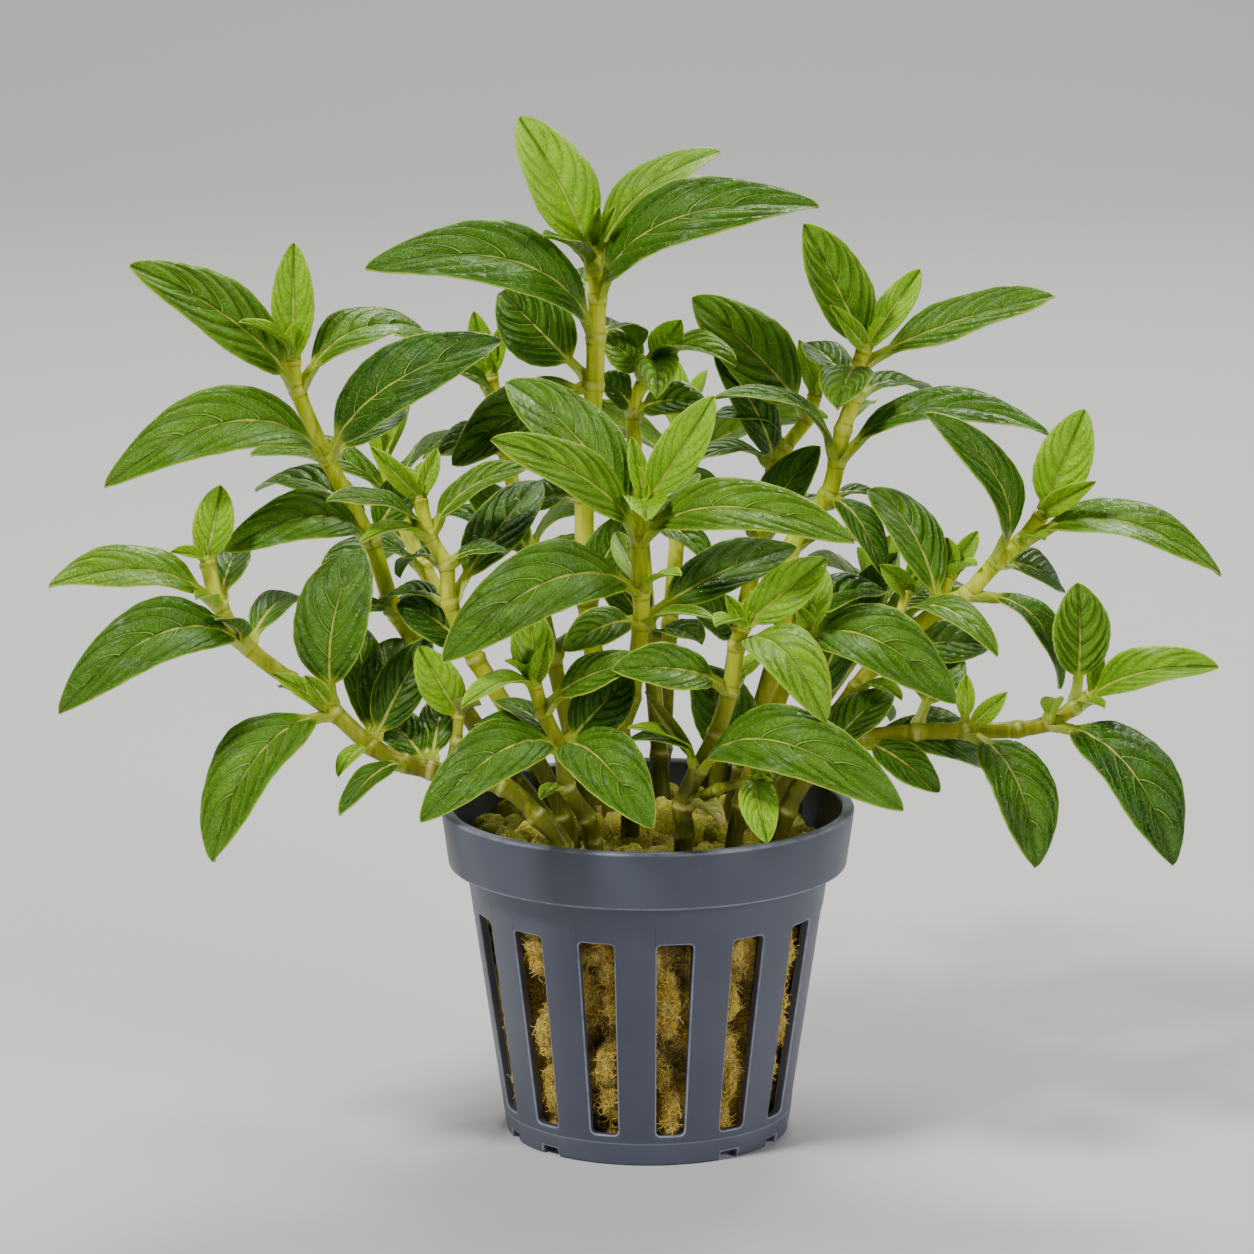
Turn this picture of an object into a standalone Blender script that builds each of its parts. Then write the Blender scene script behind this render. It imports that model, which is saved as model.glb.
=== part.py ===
"""A bushy staurogyne repens growing in a slotted net pot filled with rockwool.

Sizes and places are in millimetres. +Z is up, the front of the pot looks along -Y, and the origin is
the centre of the flat underside of the pot.
"""
import math

import bmesh
import bpy
from mathutils import Matrix, Vector

MM = 0.001

# ---------------------------------------------------------------- pot
POT_SIDES = 28
POT_HEIGHT = 42.0
FOOT_RADIUS = 17.85
BODY_TOP_RADIUS = 22.9
COLLAR_FOOT = 34.6
COLLAR_FOOT_RADIUS = 25.1
RIM_RADIUS = 26.0
RIM_WIDTH = 1.5
WALL = 1.2
FLOOR = 1.3
EDGE = 0.5
SHELF_RISE = 0.2

SLOTS = 14
FIRST_SLOT = 8.7
SLOT_BOTTOM = 4.0
SLOT_TOP = 29.4
SLOT_TOP_WIDTH = 4.6
SLOT_BOTTOM_WIDTH = 3.5
SLOT_CORNER = 0.6
SLOT_CUT_INNER = 15.0
SLOT_CUT_OUTER = 25.0
PLAIN_SLOTS = (0, 6, 7, 13)
NOTCH_WIDTH = 2.5
NOTCH_HEIGHT = 1.1
NOTCH_DEPTH = 3.0
DRAINS = 4
DRAIN_INNER = 6.0
DRAIN_OUTER = 14.0
DRAIN_WIDTH = 2.6

# ---------------------------------------------------------------- rockwool
CLEARANCE = 0.3
PLUG_SIDES = 16
PLUG_TOP = 38.3
PLUG_GAP = CLEARANCE + 0.1
PLUG_BEND = 18.0
# Radius, and height above the plug's edge, from the edge to the middle.
PLUG_DOME = ((19, 0), (14, 0.5), (9, 0.8), (4.5, 1.0), (0, 1.1))
LUMP_HEIGHT = 1.1

# ---------------------------------------------------------------- stems and leaves
STEM_SIDES = 5
STEM_TAPER = 0.78
BLADE_THICKNESS = 0.55
PETIOLE_RADIUS = 0.5
PETIOLE_LENGTH = 2.6
TIP_PETIOLE_LENGTH = 0.8
LONGEST_PETIOLE = 0.4
PETIOLE_GAP = 0.45
SMALL_START = -0.5
CHANNEL = 0.10
BEND_PLACE = 0.45
SLOPE_STEP = 0.01
# Share of the blade's length, and share of its full width there.
LARGE_OUTLINE = ((0.0, 0.10), (0.15, 0.69), (0.40, 0.99), (0.64, 0.92), (0.85, 0.58))
SMALL_OUTLINE = ((0.0, 0.16), (0.3, 0.93), (0.66, 0.90))
NARROW_OUTLINE = ((0.0, 0.2), (0.45, 1.0))
TINY_OUTLINE = ((0.4, 1.0),)
NARROW_WIDTH = 7.3
TINY_WIDTH = 4.0

# The way that the upper side of a leaf looks.
UP = (0, -0.3, 1)
TILT = (0, -0.8, 0.8)
FRONT = (0, -1, 0.3)
REAR = (0, 0.8, 0.8)

# Each shoot: the axis of its stem from root to tip, the stem's radius, the large leaves, each a node
# of its own, and the small leaves that are one body with the stem. A leaf is the place in the stem's
# list where it grows, its tip, its width, the way its upper side looks, and its arch as a share of
# its length.
SHOOTS = {
    "left_tall": {
        "stem": [(-9, -4, 31), (-13, -4, 41), (-19, -3, 49), (-25, -1, 57.5), (-31.3, 1, 66),
                 (-34.6, 3, 74.7), (-40, 4, 85.2), (-43.7, 5, 93.7), (-44.2, 5, 97.8)],
        "radius": 1.25,
        "large": [
            (7, (-63.5, -4.5, 111), 9.6, TILT, 0.13),
            (7, (-28, 12, 100.4), 7.8, (0, -0.5, 0.9), 0.27),
            (6, (-67, -8, 84), 10.6, TILT, 0.33),
            (6, (-18, 0, 101), 9.6, (-0.3, -0.8, 0.6), 0.22),
            (5, (-52.5, -6, 75.5), 7.8, TILT, 0.32),
        ],
        "small": [
            (8, (-44, 6, 112.3), 6.0, FRONT, 0.04),
            (8, (-50, -7, 104.4), 3.0, TILT, 0.08),
            (5, (-50, 15, 79.5), 7.0, UP, 0.24),
            (6, (-30.5, 14, 90), 5.5, TILT, 0.14),
            (4, (-32, 13, 63), 5.0, UP, 0.20),
            (4, (-37.5, -3, 66.5), 4.6, UP, 0.22),
            (5, (-28, 6, 83.5), 5.8, TILT, 0.16),
        ],
    },
    "left_low": {
        "stem": [(-9.5, -15.5, 31), (-10.5, -18.6, 41), (-13.6, -17.6, 44.6), (-17.8, -16, 48),
                 (-26.7, -14, 49.6), (-30, -14, 50.5), (-34, -13, 52.4), (-38.6, -13, 56.6),
                 (-44, -12, 60.5), (-49.2, -12, 64.7), (-52.6, -11, 69.6), (-54.3, -10, 75.2)],
        "radius": 1.25,
        "large": [
            (10, (-73, -18, 73.7), 8.4, (0, -0.5, 0.9), 0.20),
            (9, (-71.5, -24, 59), 9.8, TILT, 0.35),
            (7, (-35.5, -6, 76), 10.2, (-0.4, -1, 0.2), 0.22),
            (7, (-53, -26, 41), 11.4, (-0.6, -0.8, 0.5), 0.24),
        ],
        "small": [
            (6, (-27, -8, 65), 6.4, FRONT, 0.12),
            (11, (-52.5, -8, 84.2), 5.6, FRONT, 0.04),
            (11, (-58.3, -14, 77), 2.6, TILT, 0.05),
            (10, (-55, -18, 72), 3.0, UP, 0.10),
            (10, (-50.5, 0, 75), 5.0, UP, 0.12),
            (9, (-52.5, -21, 70.2), 4.6, UP, 0.10),
            (9, (-43.5, 3, 68), 5.0, UP, 0.15),
            (7, (-46, -15, 62), 3.0, TILT, 0.05),
            (7, (-42, -16, 62), 2.8, FRONT, 0.05),
            (7, (-46, -4, 58), 4.0, UP, 0.15),
            (6, (-38, -19, 50), 3.0, UP, 0.15),
            (5, (-37.6, -24, 46.4), 4.2, UP, 0.15),
            (6, (-31, 0, 63.5), 7.2, TILT, 0.12),
            (4, (-25, -6, 58), 5.0, TILT, 0.10),
            (4, (-33, -7, 55), 6.0, TILT, 0.16),
            (6, (-37, 3, 65), 5.6, TILT, 0.12),
        ],
    },
    "left_middle": {
        "stem": [(-8, -9, 31), (-10.5, -10.5, 43), (-15.8, -11, 54), (-21.3, -9, 62.4),
                 (-24.4, -9, 69.5), (-24.9, -8, 74.1), (-27, -8, 78), (-28.1, -7, 82.4)],
        "radius": 1.15,
        "large": [
            (4, (-13.4, 6, 82.3), 7.4, TILT, 0.10),
        ],
        "small": [
            (6, (-14, -5, 86.2), 5.6, UP, 0.16),
            (7, (-34, -10, 89.3), 3.4, FRONT, 0.05),
            (7, (-26, -5, 88.2), 3.0, FRONT, 0.04),
            (6, (-39.3, -14, 83.4), 5.4, UP, 0.16),
            (6, (-35.2, -15, 78.3), 3.6, UP, 0.12),
            (5, (-17.2, -9, 76), 4.4, UP, 0.16),
            (4, (-33.5, -2, 68.3), 5.0, UP, 0.15),
            (5, (-31, -2, 71.5), 4.6, UP, 0.25),
            (3, (-31, -5, 69), 6.6, TILT, 0.18),
        ],
    },
    "centre_tall": {
        "stem": [(-3.5, 1, 31), (-6, 2, 55), (-7.6, 5, 67), (-7.9, 6.5, 80), (-6.7, 8, 94),
                 (-6.5, 8, 100), (-6.3, 8, 105), (-6.6, 8, 108.3), (-6.7, 8, 112)],
        "radius": 1.35,
        "large": [
            (7, (-16, 9, 127.6), 9.2, (0.4, -1, 0.3), 0.14),
            (7, (9, 9, 123.4), 7.0, (-0.2, -0.7, 0.8), 0.22),
            (6, (21, -2, 118), 10.2, TILT, 0.27),
            (5, (-35, 0, 110), 10.6, TILT, 0.31),
            (4, (-18.5, 14, 105), 9.4, FRONT, 0.08),
        ],
        "small": [
            (7, (-12.8, -4, 114.6), 5.2, UP, 0.08),
            (8, (-6, 0, 117.5), 2.2, FRONT, 0.03),
            (8, (-4, -0.5, 117.6), 2.4, FRONT, 0.05),
            (5, (-1, 21, 97), 6.0, UP, 0.15),
            (6, (-12, 21, 104.5), 6.0, UP, 0.15),
            (4, (-24.5, 4, 84.5), 8.5, TILT, 0.12),
            (3, (-17, 14, 77), 6.5, TILT, 0.12),
            (2, (-2, 6, 78), 6.2, TILT, 0.14),
        ],
    },
    "back_left": {
        "stem": [(-6, 8, 31), (-9, 14, 44), (-12, 19, 56), (-15, 22, 69), (-18.3, 24, 83),
                 (-19.6, 25, 89.7), (-20.1, 25, 92.5)],
        "radius": 1.15,
        "large": [],
        "small": [
            (6, (-22.2, 25, 100.8), 3.8, FRONT, 0.04),
            (6, (-18.6, 25, 99), 3.0, FRONT, 0.04),
            (5, (-25, 17, 94.5), 4.0, TILT, 0.10),
            (5, (-32.5, 28, 97.5), 5.6, UP, 0.15),
            (4, (-26.5, 12, 84.5), 6.2, TILT, 0.15),
            (4, (-29, 24, 82), 4.8, UP, 0.12),
            (3, (-27, 27, 74), 6.0, UP, 0.2),
            (3, (-6, 31, 74), 6.0, REAR, 0.2),
            (3, (-7.5, 15, 72), 6.0, UP, 0.12),
            (2, (-5, 12, 62), 6.5, UP, 0.16),
            (3, (-23.5, 18, 80), 6.4, TILT, 0.14),
        ],
    },
    "centre_front": {
        "stem": [(-2.5, -9, 31), (-2.2, -11, 46), (-3.4, -11, 53), (-2, -10.5, 58),
                 (-0.9, -11, 67.5), (-0.9, -12, 71.6), (-1.1, -12, 78), (-0.4, -12, 82.7)],
        "radius": 1.25,
        "large": [
            (7, (8, -12, 96), 6.4, FRONT, 0.06),
            (6, (-19, -20, 92), 7.4, TILT, 0.16),
            (6, (25, -22, 79.8), 8.2, TILT, 0.26),
            (6, (-17.5, -1, 96), 9.8, (0.35, -0.8, 0.5), 0.15),
            (5, (-25, -23, 65.2), 10.4, TILT, 0.34),
            (4, (18.5, -3, 75.6), 7.6, TILT, 0.12),
        ],
        "small": [
            (7, (-2.1, -11, 90.8), 3.0, FRONT, 0.04),
            (7, (-0.3, -21, 82.4), 6.0, UP, 0.08),
            (6, (6.2, -1, 84.5), 5.4, UP, 0.12),
            (5, (4, -19, 75.2), 3.2, UP, 0.10),
            (5, (-4, -3, 77.4), 3.4, FRONT, 0.06),
            (4, (8, -17, 69.3), 3.2, UP, 0.10),
            (4, (-10.5, -15.5, 65), 5.6, TILT, 0.22),
        ],
    },
    "right_front": {
        "stem": [(3.5, -15, 31), (4.4, -18, 42.5), (4.2, -18.6, 46.3), (6.2, -19, 51.1),
                 (8.3, -19, 55.4), (9.9, -19, 60.7), (10.8, -19, 66.4), (11.5, -19, 68.8)],
        "radius": 1.25,
        "large": [
            (7, (21.6, -18, 77), 6.4, FRONT, 0.10),
            (6, (21.3, -31, 59.5), 8.2, (0.3, -0.8, 0.6), 0.32),
            (5, (-4.4, -27, 65.2), 6.8, TILT, 0.16),
            (3, (30.6, -34, 49.4), 10, TILT, 0.31),
        ],
        "small": [
            (7, (8, -25, 70.2), 4.0, UP, 0.08),
            (7, (9.4, -20.5, 73), 2.4, FRONT, 0.03),
            (5, (14.2, -15, 64.5), 3.0, UP, 0.08),
            (3, (-0.5, -22, 61.4), 2.6, FRONT, 0.05),
            (3, (-2.5, -26, 57.8), 3.4, UP, 0.12),
            (2, (9.2, -23, 44.6), 3.0, UP, 0.15),
            (3, (-2.5, -23, 55.5), 4.4, UP, 0.20),
        ],
    },
    "front_left": {
        "stem": [(-5.2, -13.5, 31), (-6.8, -16.6, 41.5), (-7.6, -17.6, 44.6), (-10, -19.5, 49),
                 (-10.6, -19.5, 53.4), (-12.8, -19.5, 58.2), (-13.9, -19.5, 61.8)],
        "radius": 1.15,
        "large": [
            (5, (-0.2, -25, 66), 5.6, TILT, 0.14),
            (4, (-27.4, -33, 47.7), 8.4, TILT, 0.30),
            (4, (0.5, -35, 47.4), 9.0, TILT, 0.27),
        ],
        "small": [
            (6, (-14.4, -16, 70.4), 6.0, FRONT, 0.06),
            (6, (-12.3, -21, 67.2), 3.0, FRONT, 0.04),
            (6, (-22.6, -27, 60.4), 4.2, UP, 0.14),
            (4, (-19, -12, 58), 4.4, UP, 0.14),
            (3, (-13.2, -22.5, 48), 2.4, UP, 0.15),
            (4, (-21.5, -12, 55), 4.8, UP, 0.16),
            (4, (-2, -16, 62), 7.2, FRONT, 0.10),
        ],
    },
    "right_tall": {
        "stem": [(8, 2, 31), (12, 2, 46), (16.7, 6, 62), (18.1, 8, 73.2), (22.6, 10, 79.5),
                 (23.9, 10, 84), (24.6, 10, 88), (26, 11, 92), (26.6, 11, 96), (27.3, 11, 98.3)],
        "radius": 1.25,
        "large": [
            (9, (19.5, 9.5, 114.2), 8.6, (0.3, -1, 0.3), 0.06),
            (8, (50.6, 6, 105.7), 7.8, (0, -0.6, 0.9), 0.05),
            (5, (50, 2, 89), 8.0, (0, -0.45, 0.9), 0.22),
        ],
        "small": [
            (5, (8.2, 4, 93.2), 6.0, UP, 0.22),
            (9, (34.5, 16, 107.5), 4.6, FRONT, 0.06),
            (9, (22.6, 2, 105), 3.2, FRONT, 0.05),
            (8, (23.4, -1, 92.6), 7.0, UP, 0.10),
            (7, (37, 22, 89.8), 6.0, UP, 0.16),
            (7, (20, 20, 97.6), 5.6, UP, 0.12),
            (6, (29, 19, 90), 3.6, UP, 0.12),
            (4, (29.5, 2, 70.8), 5.2, UP, 0.20),
            (4, (32.5, 16, 76), 4.2, UP, 0.15),
            (3, (28.5, 16, 71.5), 5.5, UP, 0.18),
            (2, (30.5, 14, 66.5), 7.5, UP, 0.18),
            (1, (5.5, -2, 60.5), 9.4, TILT, 0.12),
        ],
    },
    "back_right": {
        "stem": [(7.5, 10, 31), (9.5, 14, 46), (11.5, 18, 59), (14.5, 22, 71.5), (16.3, 24, 80.8),
                 (17.7, 25, 83), (20.7, 26, 86.8), (21.6, 26, 90)],
        "radius": 1.15,
        "large": [
            (6, (5.7, 22, 103), 10, (0.3, -1, 0.4), 0.14),
        ],
        "small": [
            (7, (24.5, 27, 96.5), 3.4, FRONT, 0.05),
            (7, (19.5, 26, 97), 3.0, FRONT, 0.05),
            (4, (6, 16, 83), 5.4, UP, 0.16),
            (5, (8.5, 17, 88.4), 5.0, UP, 0.16),
            (3, (27, 29, 74), 6.0, UP, 0.2),
            (3, (6.5, 18, 76), 6.0, UP, 0.15),
            (4, (8.5, 20, 96.5), 6.0, TILT, 0.14),
            (3, (22, 18, 84.5), 6.6, TILT, 0.12),
            (2, (5.5, 14, 65), 6.6, TILT, 0.16),
        ],
    },
    "back_centre": {
        "stem": [(2.5, 6, 31), (1.5, 10, 46), (0.3, 14, 60), (-0.9, 20, 74.5), (-1.8, 22, 88),
                 (-0.3, 22, 92.4), (0.8, 22, 95.1)],
        "radius": 1.15,
        "large": [],
        "small": [
            (6, (4.3, 20, 100.4), 4.8, FRONT, 0.04),
            (6, (11.2, 14, 95.6), 6.4, UP, 0.16),
            (5, (-6.2, 20, 98.4), 6.4, TILT, 0.14),
            (6, (1.2, 11, 92), 6.6, UP, 0.10),
            (3, (9, 30, 78), 6.0, REAR, 0.2),
            (3, (8, 13, 70.5), 6.0, UP, 0.15),
            (2, (7, 6, 61.5), 6.5, UP, 0.16),
            (4, (7.5, 17, 90.5), 5.6, TILT, 0.14),
            (4, (-6, 18, 93.5), 5.6, TILT, 0.12),
            (2, (-6.5, 12, 71), 6.4, TILT, 0.14),
        ],
    },
    "right_middle": {
        "stem": [(9.5, -4, 31), (15.3, -4, 43.4), (19, -3, 48.3), (23.4, -2, 53.7),
                 (26.1, -2, 57.3), (28.4, -1, 60), (36.3, 0, 67), (39.8, 0, 68.9), (43.5, 0, 73),
                 (46.5, 0, 75.6), (49.1, 0, 79.1)],
        "radius": 1.25,
        "large": [
            (10, (54.2, 0, 92.3), 7.6, FRONT, 0.06),
            (9, (70.8, -8, 73), 7.8, (0, -0.5, 0.9), 0.22),
            (8, (33.9, -6, 93), 6.6, (0.4, -0.7, 0.6), 0.27),
            (7, (51.5, -3, 57.4), 5.8, UP, 0.30),
        ],
        "small": [
            (10, (55, -8, 84.6), 3.6, FRONT, 0.05),
            (9, (49, -7, 77.2), 3.2, UP, 0.08),
            (8, (52.5, 9, 67.5), 6.4, TILT, 0.12),
            (6, (28, 11, 80.3), 7.2, (0.3, -0.7, 0.6), 0.20),
            (4, (31.5, -8, 57.2), 3.4, UP, 0.15),
            (3, (31, 8, 51), 5.4, UP, 0.20),
            (5, (43, 4, 61.5), 7.2, TILT, 0.18),
        ],
    },
    "right_inner": {
        "stem": [(9.5, -10, 31), (11.5, -12.5, 45), (15, -12.5, 55), (18.7, -12, 64.9),
                 (19.8, -12, 67)],
        "radius": 1.15,
        "large": [
            (3, (37.4, -22, 59.8), 9.4, TILT, 0.34),
        ],
        "small": [
            (4, (20.6, -7, 74.6), 5.6, FRONT, 0.06),
            (4, (18, -17, 71), 2.8, FRONT, 0.05),
            (3, (11, -5, 56), 5.6, UP, 0.20),
        ],
    },
    "right_low": {
        "stem": [(14.5, -9, 31), (17.3, -10, 43.5), (21.5, -9.6, 49.8), (26.3, -8.4, 52.2),
                 (33.1, -8, 53), (39.3, -8, 53.2), (45.8, -8, 53.4), (49.6, -8, 54.2),
                 (52.8, -8, 56.2), (55.1, -8, 57.8)],
        "radius": 1.2,
        "large": [
            (8, (53, -8, 72), 7.8, (0.3, -1, 0.3), 0.08),
            (7, (64.4, -20, 39), 11, (0.6, -0.8, 0.5), 0.22),
            (5, (47.5, -20, 38.7), 9.6, (0.5, -0.8, 0.4), 0.22),
            (4, (38, 2, 61.3), 7.0, TILT, 0.14),
        ],
        "small": [
            (9, (70, -14, 62.7), 6.8, TILT, 0.16),
            (9, (55.8, -6, 64), 2.8, FRONT, 0.04),
            (8, (56, -15, 57.8), 2.8, UP, 0.08),
            (7, (50, -14, 58.8), 3.2, UP, 0.08),
            (5, (44.2, -12, 59), 2.8, FRONT, 0.06),
            (5, (39.4, -8, 60.4), 2.6, FRONT, 0.04),
            (4, (42, 3, 49), 6.4, UP, 0.18),
            (3, (36, -13, 46.6), 5.4, TILT, 0.14),
            (3, (42.5, -1, 47), 6.0, TILT, 0.18),
            (2, (30.5, -2, 57), 6.0, TILT, 0.14),
        ],
    },
    "rear_left": {
        "stem": [(-10, 5, 31), (-14, 11, 44), (-22, 22, 56), (-29, 31, 66), (-33, 36, 74),
                 (-34.5, 38, 79)],
        "radius": 1.2,
        "large": [],
        "small": [
            (5, (-36, 41, 90), 5.0, REAR, 0.05),
            (5, (-31, 39, 87), 3.4, REAR, 0.05),
            (4, (-52, 38, 80), 7.6, UP, 0.18),
            (4, (-22, 50, 80), 7.6, REAR, 0.18),
            (3, (-38, 50, 62), 7.8, REAR, 0.22),
            (3, (-42, 22, 68), 6.4, UP, 0.18),
        ],
    },
    "rear_right": {
        "stem": [(12.5, 6, 31), (16, 12, 42), (22, 20, 50), (27, 27, 55.5), (29.5, 31, 59),
                 (30.5, 32, 61)],
        "radius": 1.2,
        "large": [],
        "small": [
            (5, (32, 34, 70), 5.0, REAR, 0.05),
            (5, (27.5, 33, 68.5), 3.4, REAR, 0.05),
            (4, (44, 30, 62), 7.2, UP, 0.18),
            (4, (21, 46, 64), 7.6, REAR, 0.18),
            (3, (37, 43, 50), 7.8, REAR, 0.22),
            (3, (42, 19, 58), 6.4, UP, 0.18),
            (2, (17, 37, 51), 6.6, REAR, 0.20),
            (2, (32, 17, 71), 7.2, TILT, 0.16),
        ],
    },
    "rear_centre": {
        "stem": [(1, 12.5, 31), (2, 18, 45), (3, 29, 59), (4, 38, 69), (4.5, 42, 77), (4.5, 43, 82)],
        "radius": 1.2,
        "large": [],
        "small": [
            (5, (2, 47, 93), 5.0, REAR, 0.05),
            (5, (8, 45, 90), 3.4, REAR, 0.05),
            (4, (-15, 48, 83), 7.6, REAR, 0.18),
            (4, (24, 44, 84), 7.6, REAR, 0.18),
            (3, (2, 59, 66), 7.8, REAR, 0.22),
        ],
    },
}

# A side shoot is one body with the stem that it grows from. Its first point is on that stem's axis.
SIDE_SHOOTS = {
    "left_sprig": {
        "on": "left_low",
        "stem": [(-24.6, -14.3, 49.3), (-23.6, -13, 53), (-23.3, -12, 56.2)],
        "radius": 0.8,
        "small": [(2, (-28.2, -12, 64.8), 6.0, FRONT, 0.06), (2, (-20.5, -14, 58), 2.6, UP, 0.08)],
    },
    "hanging_sprig": {
        "on": "right_front",
        "stem": [(4.3, -18.8, 46.6), (8.5, -21.5, 49), (12.8, -25, 51.2)],
        "radius": 0.7,
        "small": [(2, (14.3, -31, 44.6), 5.2, FRONT, 0.12), (2, (15, -21, 53.4), 2.8, UP, 0.1)],
    },
    "right_upper_sprig": {
        "on": "right_middle",
        "stem": [(36.3, 0, 67), (38, 3.4, 70.6)],
        "radius": 0.8,
        "small": [(1, (37.4, 4, 75.4), 3.2, FRONT, 0.05), (1, (41.4, 5, 76), 3.2, FRONT, 0.06),
                  (1, (41, -1.5, 73), 3.0, UP, 0.08)],
    },
    "right_inner_sprig": {
        "on": "right_middle",
        "stem": [(28.4, -1, 60), (31.2, 2, 65), (32.7, 3.4, 68.8)],
        "radius": 0.8,
        "small": [(2, (29, 1, 72.4), 3.6, FRONT, 0.06), (2, (35, 6, 74), 3.6, FRONT, 0.06),
                  (1, (43.2, -10, 63.2), 5.6, UP, 0.24)],
    },
}


def clear_scene():
    """Take every object out of the scene."""
    for item in list(bpy.data.objects):
        bpy.data.objects.remove(item, do_unlink=True)


def material(name, color, roughness):
    """A plain Principled material."""
    made = bpy.data.materials.new(name)
    made.use_nodes = True
    shader = made.node_tree.nodes["Principled BSDF"]
    shader.inputs["Base Color"].default_value = (*color, 1.0)
    shader.inputs["Roughness"].default_value = roughness
    return made


def finish(bm, name, finish_material):
    """Close the bmesh into a named object in metres, with its faces pointing out."""
    bmesh.ops.recalc_face_normals(bm, faces=bm.faces)
    bmesh.ops.scale(bm, vec=(MM, MM, MM), verts=bm.verts)
    mesh = bpy.data.meshes.new(name)
    bm.to_mesh(mesh)
    bm.free()
    mesh.materials.append(finish_material)
    made = bpy.data.objects.new(name, mesh)
    bpy.context.collection.objects.link(made)
    return made


def boolean(target, tool, operation):
    """Join a tool to an object, or cut it away, and hide the tool."""
    modifier = target.modifiers.new(operation.title(), "BOOLEAN")
    modifier.operation = operation
    modifier.solver = "EXACT"
    modifier.use_self = True
    modifier.object = tool
    tool.hide_render = True
    tool.display_type = "WIRE"


def loft(bm, rings):
    """Grow one closed body through rings of points. A last ring of a single point makes a tip."""
    circle = bmesh.ops.create_circle(bm, cap_ends=True, segments=len(rings[0]), radius=1.0)
    first = circle["verts"][0].link_faces[0]
    face = first
    for corner, place in zip(face.verts, rings[0]):
        corner.co = place
    for ring in rings[1:]:
        grown = bmesh.ops.extrude_face_region(bm, geom=[face])["geom"]
        if face is not first:
            bmesh.ops.delete(bm, geom=[face], context="FACES_ONLY")
        face = [item for item in grown if isinstance(item, bmesh.types.BMFace)][0]
        if len(ring) == 1:
            bmesh.ops.pointmerge(bm, verts=face.verts, merge_co=ring[0])
            return
        for corner, place in zip(face.verts, ring):
            corner.co = place


# ---------------------------------------------------------------- stems
def stem_directions(points):
    """The way that the stem runs at each of its points."""
    last = len(points) - 1
    return [(points[min(i + 1, last)] - points[max(i - 1, 0)]).normalized() for i in range(last + 1)]


def stem_radius(radius, index, count):
    """The stem thins evenly from its root to its tip."""
    return radius * (1.0 + (STEM_TAPER - 1.0) * index / (count - 1))


def add_stem(bm, axis, radius, extra=0.0):
    """A round stem along its axis. The extra is added to its radius and past both of its ends."""
    points = [Vector(place) for place in axis]
    ways = stem_directions(points)
    points[0] -= ways[0] * extra
    points[-1] += ways[-1] * extra
    side = ways[0].orthogonal().normalized()
    rings = []
    for index, (point, way) in enumerate(zip(points, ways)):
        side = (side - way * side.dot(way)).normalized()
        across = way.cross(side)
        reach = stem_radius(radius, index, len(points)) + extra
        turns = [math.tau * step / STEM_SIDES for step in range(STEM_SIDES)]
        rings.append([point + reach * (math.cos(a) * side + math.sin(a) * across) for a in turns])
    loft(bm, rings)


# ---------------------------------------------------------------- leaves
def upper_side(reach, look):
    """The way that the upper side looks, square to the line from root to tip."""
    look = Vector(look)
    return (look - reach * look.dot(reach) / reach.length_squared).normalized()


def first_run(reach, up, arch):
    """From the root of the midrib to its bend, which lies towards the upper side of the leaf."""
    return BEND_PLACE * reach + 2.0 * arch * reach.length * up


def midrib(root, tip, up, arch, share):
    """A point on the bowed midrib."""
    bend = root + first_run(tip - root, up, arch)
    return (1 - share) ** 2 * root + 2 * share * (1 - share) * bend + share ** 2 * tip


def blade_outline(width, small):
    """The outline of a blade. The narrower it is, the fewer its sections."""
    if not small:
        return LARGE_OUTLINE
    if width < TINY_WIDTH:
        return TINY_OUTLINE
    return NARROW_OUTLINE if width < NARROW_WIDTH else SMALL_OUTLINE


def leaf_ring(root, tip, up, arch, share, half_width, small):
    """The leaf's section: two sharp edges, the midrib below, and on a large leaf the midrib above."""
    point = midrib(root, tip, up, arch, share)
    past = midrib(root, tip, up, arch, share - SLOPE_STEP)
    ahead = (midrib(root, tip, up, arch, share + SLOPE_STEP) - past).normalized()
    normal = (up - ahead * up.dot(ahead)).normalized()
    across = ahead.cross(normal)
    rise = CHANNEL * half_width * normal
    half = 0.5 * BLADE_THICKNESS * normal
    top = [] if small else [point + half]
    return [point + half_width * across + rise, *top, point - half_width * across + rise, point - half]


def add_leaf(bm, axis, leaf, start, small):
    """A leaf whose petiole begins a given way along its midrib from the axis of its stem."""
    place, tip, width, look, arch = leaf
    node = Vector(axis[place])
    tip = Vector(tip)
    reach = tip - node
    up = upper_side(reach, look)
    pace = 2.0 * first_run(reach, up, arch).length
    first = start / pace
    petiole = TIP_PETIOLE_LENGTH if place == len(axis) - 1 else PETIOLE_LENGTH
    blade = min(first + petiole / pace, LONGEST_PETIOLE)
    outline = blade_outline(width, small)
    rings = [leaf_ring(node, tip, up, arch, first, PETIOLE_RADIUS, small)]
    for share, breadth in outline:
        along = blade + (1.0 - blade) * share
        rings.append(leaf_ring(node, tip, up, arch, along, 0.5 * width * breadth, small))
    rings.append([tip])
    loft(bm, rings)


def clear_start(shoot, leaf):
    """How far along its midrib a separate leaf begins, to stay clear of the stem at its node."""
    points = [Vector(place) for place in shoot["stem"]]
    node = points[leaf[0]]
    reach = Vector(leaf[1]) - node
    way = first_run(reach, upper_side(reach, leaf[3]), leaf[4]).normalized()
    run = stem_directions(points)[leaf[0]]
    gap = CLEARANCE + PETIOLE_GAP
    beside = (stem_radius(shoot["radius"], leaf[0], len(points)) + gap) / way.cross(run).length
    if leaf[0] < len(points) - 1:
        return beside
    return min(beside, gap / way.dot(run))


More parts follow.
